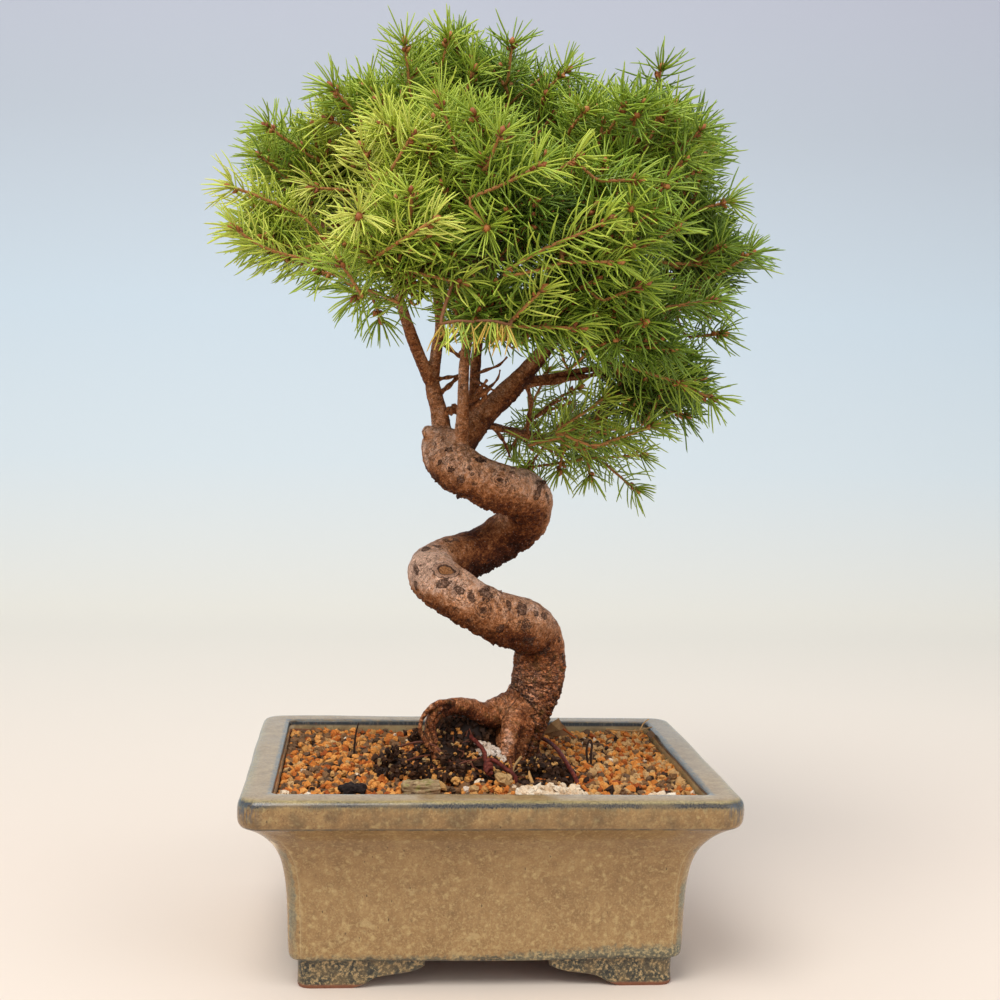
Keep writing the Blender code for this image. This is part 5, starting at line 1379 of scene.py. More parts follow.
PEAT = T.out(Base_Color=T.mix(1.0, tone, shade, "MULTIPLY"), Roughness=0.60, Specular_IOR_Level=0.20)
root_ball = add("old_soil", mesh, (PEAT,))
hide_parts("root_ball_soil")

# ---------------------------------------------------------------- tie wire
KNOT = np.array([0.5, -34.5, 86.5])
left = [(2.6, -34.6, 87.2), (7.0, -36.5, 84.6), (12.0, -39.5, 79.0), (6.0, -38.0, 62.0), (-20.0, -22.0, 44.0), (-40.0, -3.0, 30.0), (-42.66, 2.66, 21.5), (-42.66, 2.66, 16.5), (-42.3, 2.66, 12.0), (-38.5, 2.4, 9.7)]
under = [(-20.0, 1.5, 9.4), (0.0, 1.0, 9.4), (20.0, 1.5, 9.4)]
right = [(38.5, 2.4, 9.7), (42.3, 2.66, 12.0), (42.66, 2.66, 16.5), (42.66, 2.66, 21.5), (42.4, -4.0, 32.0), (42.0, -30.0, 52.0), (39.5, -44.0, 70.0), (37.5, -41.5, 79.5), (35.5, -28.0, 83.0), (34.6, -13.0, 84.2), (33.0, 0.0, 85.2), (29.0, 13.5, 86.0), (19.0, 17.5, 87.5), (8.0, 13.5, 90.0), (0.0, 3.0, 92.5), (-5.0, -10.0, 92.0), (-3.0, -20.0, 91.2), (-0.6, -28.0, 89.2), (-0.6, -32.6, 87.6)]
twist = []
for k in range(1, 7):
    t = math.radians(90 * k)
    twist.append((t, KNOT + np.array([0, -0.9 * k, -0.55 * k])))
end_a = [tuple(c + np.array([math.cos(t), 0, math.sin(t)]) * 1.25) for t, c in twist][::-1]
end_b = [tuple(c - np.array([math.cos(t), 0, math.sin(t)]) * 1.25) for t, c in twist]
verts, faces = tube_parts([(*p, 0.92) for p in end_a + left + under + right + end_b], 12, 5)
wire = add("wire_loop", new_mesh("wire_loop", verts, faces))
T = Tree("wire")
P = T.coords(1.0)
rust = T.noise(P, 0.6, 3.0, 0.6)
col = T.ramp(rust, (0.35, (0.060, 0.0115, 0.009)), (0.55, (0.140, 0.027, 0.018)), (0.75, (0.25, 0.065, 0.040)))
WIRE = T.out(Base_Color=col, Roughness=0.55, Specular_IOR_Level=0.14, Coat_Weight=0.0, Coat_Roughness=0.3)
wire.data.materials.append(WIRE)
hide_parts("tie_wire")

# ---------------------------------------------------------------- bark chip with moss, fertiliser lump
bm = bmesh.new()
bmesh.ops.create_cube(bm, size=1.0, matrix=Matrix.Translation((-28, -51.5, 80.0)) @ Matrix.Rotation(0.05, 4, "Z") @ Matrix.Diagonal((16.4, 7.4, 4.6, 1)))
bmesh.ops.subdivide_edges(bm, edges=bm.edges[:], cuts=11, use_grid_fill=True)
mesh = bpy.data.meshes.new("mossy_chip")
bm.to_mesh(mesh)
bm.free()
co = coords_of(mesh) * MM
mid_pt = np.array([-28, -51.5, 80.0])
rel = (co - mid_pt) / np.array([8.2, 3.7, 2.3])
length = np.linalg.norm(rel, axis=1, keepdims=True)
rel = rel * (1 - 0.09 * smooth(1.2, 1.7, length))
co = mid_pt + rel * np.array([7.6, 3.6, 2.3])
co += (fbm(co * np.array([0.6, 1, 2.2]), 2.6, 3, 0.6)[:, None] * 0.75 + fbm(co, 1.1, 2, 0.6, 5.0)[:, None] * 0.35) * unit(rel)
co[:, 2] = np.maximum(co[:, 2], 77.6)
set_coords(mesh, co)
mesh.shade_smooth()
T = Tree("mossy_bark")
P = T.coords(1.0)
layers = T.node("VectorMath", p_operation="MULTIPLY", i0=P)
layers.inputs[1].default_value = (0.85, 0.9, 1.7)
n1 = T.noise(layers.outputs[0], 0.5, 4.0, 0.65)
n2 = T.noise(P, 0.35, 3.0, 0.6)
base = T.ramp(n1, (0.32, (0.12, 0.062, 0.028)), (0.5, (0.36, 0.235, 0.115)), (0.68, (0.52, 0.40, 0.22)))
moss = T.ramp(T.noise(P, 1.3, 3.0), (0.35, (0.10, 0.115, 0.02)), (0.65, (0.34, 0.32, 0.07)))
base = T.mix(T.ramp(n2, (0.48, 0.0), (0.60, 0.60)), base, moss)
CHIP = T.out(Base_Color=base, Roughness=0.9, Normal=T.bump(n1, 0.4, 0.8))
mesh.materials.append(CHIP)
chip = add("mossy_chip", mesh)
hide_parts("bark_chip")

bm = bmesh.new()
bmesh.ops.create_icosphere(bm, subdivisions=4, radius=1.0)
mesh = bpy.data.meshes.new("dark_lump")
bm.to_mesh(mesh)
bm.free()
base = coords_of(mesh) * MM
lump = base * np.array([5.4, 3.5, 2.5])
lump *= (1 + 0.30 * fbm(lump + 40, 2.8, 3, 0.65) + 0.17 * fbm(lump + 9, 0.9, 2, 0.6))[:, None]
lump += np.array([-55.5, -52.5, 79.4])
lump[:, 2] = np.maximum(lump[:, 2], 77.4)
set_coords(mesh, lump)
mesh.shade_smooth()
T = Tree("fertiliser")
P = T.coords(1.0)
n1 = T.noise(P, 0.9, 4.0, 0.7)
FERT = T.out(Base_Color=T.ramp(n1, (0.35, (0.010, 0.007, 0.007)), (0.6, (0.035, 0.022, 0.019)), (0.8, (0.08, 0.055, 0.045))), Roughness=0.9, Specular_IOR_Level=0.25, Normal=T.bump(n1, 0.9, 1.0))
mesh.materials.append(FERT)
lump_obj = add("dark_lump", mesh)
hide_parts("fertiliser_lump")

# ---------------------------------------------------------------- drain screens keep their solids
T = Tree("black_mesh")
n1 = T.noise(T.coords(1.0), 1.5, 2.0)
SCREEN = T.out(Base_Color=T.ramp(n1, (0.3, (0.012, 0.012, 0.013)), (0.7, (0.03, 0.03, 0.032))), Roughness=0.5)
for obj in scene.objects:
    if obj.type == "MESH" and obj.name.startswith("drain_mesh"):
        obj.data.materials.clear()
        obj.data.materials.append(SCREEN)


# ================================================================ foliage
class Greens:
    """Collects the needles, twigs and buds of one clump in one mesh.

    Its UV map carries the finish: needles by tint and place along the needle, twigs and buds in bands of their own.
    """

    def __init__(self, seed):
        self.rng = np.random.default_rng(seed)
        self.v, self.q, self.t = [], [], []
        self.quv, self.tuv, self.qm, self.tm = [], [], [], []
        self.n = 0

    def _push(self, verts, quads, quv, qm, tris, tuv, tm):
        if len(quads):
            self.q.append(quads + self.n)
            self.quv.append(quv)
            self.qm.append(np.full(len(quads), qm, np.int32))
        if len(tris):
            self.t.append(tris + self.n)
            self.tuv.append(tuv)
            self.tm.append(np.full(len(tris), tm, np.int32))
        self.v.append(verts)
        self.n += len(verts)

    def needles(self, path, start, end, per_mm, length, tint, fine=0, spread=(82, 62), width=0.76, bend=0.80, tip_burst=True, burst=9, gold=False):
        rng = self.rng
        seg = np.linalg.norm(np.diff(path, axis=0), axis=1)
        cum = np.concatenate([[0], np.cumsum(seg)])
        total = cum[-1]
        n = max(3, int((end - start) * total * per_mm))
        t = start + (end - start) * (np.arange(n) + rng.uniform(0, 1, n)) / n
        k = burst if tip_burst else 0
        t = np.concatenate([t, np.full(k, 1.0) - rng.uniform(0, 0.04, k)])
        n += k
        s = t * total
        base = np.stack([np.interp(s, cum, path[:, i]) for i in range(3)], 1)
        tan = unit(np.gradient(path, axis=0))
        tan = unit(np.stack([np.interp(s, cum, tan[:, i]) for i in range(3)], 1))
        helper = np.where(np.abs(tan[:, 2:3]) > 0.9, [[1.0, 0, 0]], [[0, 0, 1.0]])
        side = unit(np.cross(tan, helper))
        over = np.cross(side, tan)
        phi = np.arange(n) * 2.39996 + rng.normal(0, 0.35, n)
        radial = side * np.cos(phi)[:, None] + over * np.sin(phi)[:, None]
        local = (t - start) / max(end - start, 1e-6)
        ang = np.radians(spread[0] + (spread[1] - spread[0]) * np.clip(local, 0, 1) ** 1.3 + rng.normal(0, 8, n))
        pull = bend * rng.uniform(0.45, 1.75, n)
        fall = np.full(n, -0.24)
        if k:
            ang[-k:] = np.radians(rng.uniform(24, 74, k))
            pull[-k:] *= 0.30
            fall[-k:] = -0.46
        d0 = tan * np.cos(ang)[:, None] + radial * np.sin(ang)[:, None] + rng.normal(0, 0.09, (n, 3))
        d0[:, 2] += 0.10 * (d0[:, 2] < 0)
        d0 = unit(d0)
        d1 = unit(d0 + tan * pull[:, None] + rng.normal(0, 0.15, (n, 3)) + fall[:, None] * np.array([0, 0, 1.0]))
        size = length * (0.80 + 0.26 * np.sin(np.pi * np.clip(0.18 + 0.62 * local, 0, 1))) * rng.normal(1, 0.11, n)
        w = width * rng.normal(1, 0.07, n)
        col = np.clip(tint + 0.12 * (local - 0.5) + rng.normal(0, 0.06, n), 0.02, 0.93)
        if gold:
            col = np.full(n, 0.985)
        self._needles(base + radial * 0.2, d0, d1, size, w, col, fine)

    def _needles(self, base, d0, d1, size, w, col, fine):
        """Curved three-sided needles of even width with a blunt tip."""
        n = len(base)
        side = unit(np.cross(d0, unit(self.rng.normal(0, 1, (n, 3)))))
        over = np.cross(d0, side)
        size, w = size[:, None], w[:, None]
        place, fat = (((0.0, 0.88), (0.40, 0.50)), ((0.0, 0.50, 0.92), (0.38, 0.54, 0.36)), ((0.0, 0.34, 0.68, 0.94), (0.36, 0.52, 0.50, 0.30)))[fine]
        stops = [base]
        for a, b in zip(place[:-1], place[1:]):
            m = (a + b) / 2
            stops.append(stops[-1] + unit(d0 * (1 - m) + d1 * m) * size * (b - a))
        tip = stops[-1] + d1 * size * (1 - place[-1])
        rings = len(stops)
        verts = np.empty((n, rings * 3 + 1, 3))
        for r, (c, f) in enumerate(zip(stops, fat)):
            for k in range(3):
                a = 2 * math.pi * k / 3
                verts[:, r * 3 + k] = c + (side * math.cos(a) + over * math.sin(a)) * w * f
        verts[:, -1] = tip
        start = (np.arange(n) * (rings * 3 + 1))[:, None]
        lo, hi = (col - 0.012)[:, None], (col + 0.012)[:, None]
        v_at = [0.32 + 0.66 * p for p in place]
        quads, quv, tris, tuv = [], [], [], []
        for r in range(rings - 1):
            for k in range(3):
                j = (k + 1) % 3
                quads.append(start + np.array([[r * 3 + k, r * 3 + j, r * 3 + 3 + j, r * 3 + 3 + k]]))
                a, b = np.full((n, 1), v_at[r]), np.full((n, 1), v_at[r + 1])
                quv.append(np.stack([np.hstack([lo, a]), np.hstack([hi, a]), np.hstack([hi, b]), np.hstack([lo, b])], 1))
        r = rings - 1
        for k in range(3):
            j = (k + 1) % 3
            tris.append(start + np.array([[r * 3 + k, r * 3 + j, rings * 3]]))
            a, b = np.full((n, 1), v_at[r]), np.full((n, 1), 0.98)
            tuv.append(np.stack([np.hstack([lo, a]), np.hstack([hi, a]), np.hstack([(lo + hi) / 2, b])], 1))
        self._push(verts.reshape(-1, 3), np.concatenate(quads), np.concatenate(quv), 0, np.concatenate(tris), np.concatenate(tuv), 0)

    def twig(self, path, radii, old=False, sides=5):
        """A closed tapering twig along path."""
        k = len(path)
        tan = unit(np.gradient(path, axis=0))
        side = unit(np.cross(tan[0], [0.31, 0.77, 0.55]))
        ring = []
        ang = np.arange(sides) * 2 * math.pi / sides
        for i in range(k):
            side = unit(side - tan[i] * (side @ tan[i]))
            over = np.cross(tan[i], side)
            ring.append(path[i] + (np.cos(ang)[:, None] * side + np.sin(ang)[:, None] * over) * radii[i])
        verts = np.concatenate(ring + [[path[0]], [path[-1] + tan[-1] * radii[-1] * 0.5]])
        span = min(0.4, 0.02 * k)
        u0 = (0.52 if old else 0.02) + self.rng.uniform(0, 0.44 - span)
        us = u0 + span * np.arange(k) / (k - 1)
        quads, quv, tris, tuv = [], [], [], []
        for i in range(k - 1):
            for j in range(sides):
                m = (j + 1) % sides
                quads.append([i * sides + j, i * sides + m, (i + 1) * sides + m, (i + 1) * sides + j])
                va, vb = 0.01 + 0.18 * j / sides, 0.01 + 0.18 * (j + 1) / sides
                quv.append([[us[i], va], [us[i], vb], [us[i + 1], vb], [us[i + 1], va]])
        for j in range(sides):
            m = (j + 1) % sides
            va, vb = 0.01 + 0.18 * j / sides, 0.01 + 0.18 * (j + 1) / sides
            tris.append([m, j, k * sides])
            tuv.append([[us[0], vb], [us[0], va], [us[0] + 0.012, (va + vb) / 2]])
            tris.append([(k - 1) * sides + j, (k - 1) * sides + m, k * sides + 1])
            tuv.append([[us[-1], va], [us[-1], vb], [us[-1] - 0.012, (va + vb) / 2]])
        self._push(verts, np.array(quads), np.array(quv), 1, np.array(tris), np.array(tuv), 1)

    def bud(self, at_point, direction, r=1.0, long=2.6, tint=None):
        d = unit(np.asarray(direction, float))
        side = unit(np.cross(d, [0.6, 0.2, 0.77]))
        over = np.cross(d, side)
        sides, prof = 5, [(0.0, 0.6), (0.3, 1.0), (0.68, 0.72)]
        ang = np.arange(sides) * 2 * math.pi / sides
        verts = []
        for h, f in prof:
            wob = 1 + self.rng.normal(0, 0.08, sides)
            verts.append(at_point + d * long * h + (np.cos(ang)[:, None] * side + np.sin(ang)[:, None] * over) * (r * f * wob)[:, None])
            ang = ang + 0.6
        verts = np.concatenate(verts + [[at_point + d * long]])
        u = self.rng.uniform(0.05, 0.95) if tint is None else tint
        lo, hi = u - 0.02, u + 0.02
        v_at = (0.22, 0.245, 0.265, 0.285)
        quads, quv, tris, tuv = [], [], [], []
        for i in range(2):
            for j in range(sides):
                m = (j + 1) % sides
                quads.append([i * sides + j, i * sides + m, (i + 1) * sides + m, (i + 1) * sides + j])
                quv.append([[lo, v_at[i]], [hi, v_at[i]], [hi, v_at[i + 1]], [lo, v_at[i + 1]]])
        for j in range(sides):
            m = (j + 1) % sides
            tris.append([2 * sides + j, 2 * sides + m, 3 * sides])
            tuv.append([[lo, v_at[2]], [hi, v_at[2]], [u, v_at[3]]])
        self._push(verts, np.array(quads), np.array(quv), 2, np.array(tris), np.array(tuv), 2)

    def build(self, name):
        v = np.concatenate(self.v) * MM
        q, t = np.concatenate(self.q), np.concatenate(self.t)
        uv = np.concatenate([np.concatenate(self.quv).reshape(-1, 2), np.concatenate(self.tuv).reshape(-1, 2)])
        mats = np.concatenate([np.concatenate(self.qm), np.concatenate(self.tm)])
        mesh = bpy.data.meshes.new(name)
        mesh.vertices.add(len(v))
        mesh.vertices.foreach_set("co", v.astype(np.float32).ravel())
        loops = np.concatenate([q.ravel(), t.ravel()]).astype(np.int32)
        mesh.loops.add(len(loops))
        mesh.loops.foreach_set("vertex_index", loops)
        starts = np.concatenate([np.arange(len(q)) * 4, len(q) * 4 + np.arange(len(t)) * 3]).astype(np.int32)
        mesh.polygons.add(len(q) + len(t))
        mesh.polygons.foreach_set("loop_start", starts)
        mesh.polygons.foreach_set("material_index", mats)
        mesh.update(calc_edges=True)
        layer = mesh.uv_layers.new(name="OFBake")
        layer.uv.foreach_set("vector", uv.astype(np.float32).ravel())
        mesh.shade_smooth()
        return mesh, 2 * len(q) + len(t)


def hermite(p0, m0, p1, m1, n):
    t = np.linspace(0, 1, n)[:, None]
    return (2 * t ** 3 - 3 * t * t + 1) * p0 + (t ** 3 - 2 * t * t + t) * m0 + (-2 * t ** 3 + 3 * t * t) * p1 + (t ** 3 - t * t) * m1


# What the crown shows from the front, as paths in the picture from a shoot's tip to its base,
# then how much deeper the base lies in mm and the tint from 0, dark, to 1, yellow green.
SHOOTS = [
    ([(268, 127), (310, 156)], 6, 0.58),
    ([(261, 156), (290, 181)], 8, 0.52),
    ([(232, 187), (262, 198), (298, 214)], 4, 0.88),
    ([(234, 228), (273, 251), (345, 266)], 8, 0.80),
    ([(333, 88), (363, 122)], 6, 0.58),
    ([(328, 119), (358, 133)], 3, 0.72),
    ([(405, 44), (410, 92)], 6, 0.60),
    ([(449, 38), (438, 78)], 8, 0.66),
    ([(474, 71), (465, 95)], 4, 0.62),
    ([(438, 98), (454, 142), (468, 199)], 4, 0.68),
    ([(474, 115), (482, 135)], 8, 0.60),
    ([(412, 136), (391, 170)], 4, 0.86),
    ([(362, 148), (370, 168), (378, 214)], 3, 0.95),
    ([(349, 161), (370, 168)], 1, 0.95),
    ([(314, 188), (346, 190)], 3, 0.92),
    ([(359, 216), (361, 213)], 22, 0.93),
    ([(434, 220), (391, 247)], 9, 0.88),
    ([(487, 228), (489, 225)], 22, 0.62),
    ([(462, 283), (405, 270)], 6, 0.76),
    ([(512, 44), (508, 80)], 6, 0.50),
    ([(566, 72), (545, 90)], 6, 0.55),
    ([(545, 96), (538, 118)], 8, 0.60),
    ([(584, 112), (571, 128)], 8, 0.60),
    ([(552, 117), (536, 136), (519, 154)], 6, 0.62),
    ([(500, 135), (488, 165)], 6, 0.62),
    ([(661, 70), (655, 95)], 6, 0.50),
    ([(623, 106), (610, 130)], 8, 0.50),
    ([(636, 117), (630, 135)], 12, 0.50),
    ([(644, 104), (640, 122)], 12, 0.50),
    ([(700, 130), (680, 150)], 6, 0.46),
    ([(684, 160), (665, 175)], 8, 0.50),
    ([(697, 171), (676, 182)], 8, 0.46),
    ([(729, 202), (700, 210), (675, 228)], 4, 0.52),
    ([(676, 227), (650, 243)], 8, 0.52),
    ([(750, 254), (718, 275)], 6, 0.45),
    ([(577, 158), (548, 178)], 6, 0.72),
    ([(538, 167), (506, 183), (470, 198)], 6, 0.66),
    ([(638, 180), (602, 181)], 6, 0.56),
    ([(665, 187), (650, 190)], 10, 0.50),
    ([(631, 209), (629, 207)], 22, 0.64),
    ([(608, 220), (580, 234), (546, 248), (504, 272)], 6, 0.70),
    ([(616, 262), (563, 262)], 6, 0.62),
    ([(703, 265), (650, 262)], 6, 0.48),
    ([(643, 285), (605, 300)], 6, 0.56),
    ([(721, 248), (700, 256)], 8, 0.48),
    ([(541, 291), (512, 320)], 6, 0.74),
    ([(714, 301), (651, 309)], 6, 0.46),
    ([(595, 314), (593, 311)], 22, 0.58),
    ([(579, 328), (506, 326)], 6, 0.62),
    ([(645, 322), (630, 325)], 12, 0.50),
    ([(721, 334), (690, 337)], 8, 0.48),
    ([(680, 383), (620, 364)], 8, 0.58),
    ([(711, 398), (680, 385)], 6, 0.56),
    ([(641, 455), (597, 458)], 4, 0.56),
    ([(652, 426), (600, 445)], 4, 0.58),
    ([(635, 489), (604, 463)], 4, 0.58),
    ([(524, 468), (575, 461)], 4, 0.60),
    ([(545, 412), (575, 401)], 4, 0.62),
    ([(357, 296), (368, 290), (399, 303)], 4, 0.60),
    ([(600, 420), (565, 432), (528, 446)], 4, 0.66),
    ([(578, 388), (552, 402), (532, 418)], 4, 0.70),
    ([(560, 436), (530, 440), (500, 428)], 4, 0.60),
    ([(528, 468), (540, 452), (552, 440)], 4, 0.62),
    ([(512, 446), (520, 434), (531, 421)], 4, 0.62),
    ([(604, 398), (585, 412), (560, 428)], 4, 0.66),
    ([(560, 470), (562, 456), (566, 444)], 4, 0.62),
    ([(590, 476), (588, 462), (584, 448)], 4, 0.60),
    ([(620, 440), (600, 446), (578, 450)], 4, 0.60),
    ([(548, 372), (540, 388), (532, 404)], 4, 0.64),
    ([(340, 262), (352, 280), (362, 296)], 4, 0.60),
    ([(320, 272), (338, 276), (356, 290)], 4, 0.56),
    ([(380, 318), (376, 306), (370, 294)], 4, 0.50),
]
# The crown's outline from the front, needle tips included.
OUTLINE = [(206, 180), (225, 166), (245, 148), (240, 118), (262, 98), (290, 82), (320, 66), (345, 60), (370, 66), (390, 42), (405, 28), (425, 30), (437, 10), (457, 10), (474, 24), (482, 44), (498, 36), (518, 30), (540, 54), (560, 48), (584, 44), (592, 64), (612, 78), (636, 60), (652, 46), (680, 44), (697, 56), (702, 84), (716, 108), (732, 124), (733, 150), (728, 170), (737, 192), (752, 195), (744, 215), (757, 234), (778, 246), (772, 262), (748, 276), (746, 300), (738, 320), (743, 345), (728, 362), (739, 400), (722, 432), (700, 442), (680, 446), (661, 470), (642, 503), (612, 490), (580, 480), (540, 476), (504, 470), (498, 450), (494, 430), (505, 408), (525, 396), (545, 386), (530, 368), (500, 360), (475, 352), (440, 334), (420, 326), (400, 336), (384, 330), (365, 322), (352, 316), (345, 296), (330, 282), (300, 287), (275, 270), (250, 266), (228, 256), (213, 232), (218, 206)]
_OUT = np.array(OUTLINE, float)


def inside_outline(p):
    x, y = p[..., 0], p[..., 1]
    a, b = _OUT, np.roll(_OUT, -1, 0)
    hit = np.zeros(x.shape, bool)
    for (x1, y1), (x2, y2) in zip(a, b):
        if y1 == y2:
            continue
        cond = ((y1 > y) != (y2 > y)) & (x < (x2 - x1) * (y - y1) / (y2 - y1) + x1)
        hit ^= cond
    return hit


def outline_gap(p):
    """Distance in pixels from points to the outline."""
    a, b = _OUT, np.roll(_OUT, -1, 0)
    ab = b - a
    q = p[..., None, :] - a
    t = np.clip((q * ab).sum(-1) / (ab * ab).sum(-1), 0, 1)
    return np.linalg.norm(q - t[..., None] * ab, axis=-1).min(-1)


CENTRES = np.array([c[1] for c in CLUMPS], float)
RADII = np.array([c[2] for c in CLUMPS], float)
CROWN_BASE = np.array([-8.0, 0.0, 234.0])


def crown_depth(px, py):
    """Depth of the crown's front skin at a pixel, and the clump that it belongs to."""
    d = ray(px, py)
    o = (CAM - CENTRES) / RADII
    e = d / RADII
    a, b, c = (e * e).sum(1), (o * e).sum(1), (o * o).sum(1) - 1
    disc = b * b - a * c
    if (disc > 0).any():
        t = np.where(disc > 0, (-b - np.sqrt(np.maximum(disc, 0))) / a, 1e9)
        k = int(np.argmin(t))
        return CAM[1] + d[1] * t[k], k
    t = -b / a
    miss = (o * o).sum(1) - b * b / a
    k = int(np.argmin(miss))
    return CAM[1] + d[1] * t[k], k


def along(rows, share):
    line = catmull(rows, 4)
    return line[min(len(line) - 1, int(round(share * (len(line) - 1))))]


def shoot_tint_with_painted_light(p):
    """Tint of a shoot: sunlit new growth is yellower at the upper left front, partly its own colour and partly painted
    light on the lit side; darker low down and on the right, and much darker at a hole in the middle of the crown,
    painted shade.
    """
    p = np.asarray(p, float)
    left = smooth(10, -75, p[0])
    front = smooth(30, -60, p[1])
    high = smooth(250, 350, p[2])
    gap = np.exp(-(((to_pixel(p) - np.array([548.0, 214.0])) / np.array([34.0, 26.0])) ** 2).sum())
    right = smooth(35, 100, p[0])
    return 0.47 + 0.38 * left * (0.45 + 0.55 * front) * (0.55 + 0.45 * high) * (1 - 0.5 * smooth(330, 375, p[2])) + 0.11 * front * high - 0.05 * (1 - high) - 0.09 * right - 0.32 * gap


# clumps that the picture shows thin, with short needles
DENSE = {"rear_right_low": 0.66, "right_low": 0.92, "far_left": 0.95, "left_low": 0.9}
SHORT = {"rear_right_low": 0.84, "right_low": 0.98}
HERO_LENGTH = {"rear_right_low": 14.5}
# shoots that close the middle of the crown, as seen from above: clump, middle, half-spread and count
FILL = {
    "top": (((-10, -32, 352), (20, 10, 9), 11), ((1, -26, 336), (9, 9, 8), 7), ((-6, -2, 333), (9, 9, 9), 6)),
    "front_left_upper": (((-26, -20, 342), (14, 12, 10), 6),),
    "front_right_upper": (((24, -28, 346), (15, 13, 10), 9),),
    "rear_top": (((6, 22, 348), (24, 12, 10), 9),),
    "rear_left": (((-38, 24, 342), (14, 12, 10), 6),),
    "rear_middle": (((-11, 14, 308), (9, 9, 8), 4),),
    "front_middle": (((0, -44, 338), (16, 9, 9), 6), ((-3, -15, 314), (11, 13, 10), 10), ((6, -42, 318), (9, 9, 8), 4)),
}
heroes = {i: [] for i in range(len(CLUMPS))}
hero_lines = []
for pts, deeper, tint in SHOOTS:
    y0, k = crown_depth(*pts[0])
    y0 += 6.0
    n = len(pts)
    line = np.array([at(px, py, y0 + deeper * i / (n - 1)) for i, (px, py) in enumerate(pts)])[::-1]
    heroes[k].append((line, tint))
    hero_lines.append((np.array(pts, float), y0, deeper))


def covers_hero(tip, base):
    """Whether a shoot would hang in front of one that the picture shows clear."""
    for f in (0.0, 0.5, 1.0):
        p = tip * (1 - f) + base * f
        px = to_pixel(p)
        for pts, y0, deeper in hero_lines:
            a, b = pts[:-1], pts[1:]
            ab = b - a
            t = np.clip(((px - a) * ab).sum(1) / np.maximum((ab * ab).sum(1), 1e-6), 0, 1)
            if np.min(np.linalg.norm(a + ab * t[:, None] - px, axis=1)) < 19 and p[1] < y0 + deeper * 0.5 + 5:
                return True
    return False


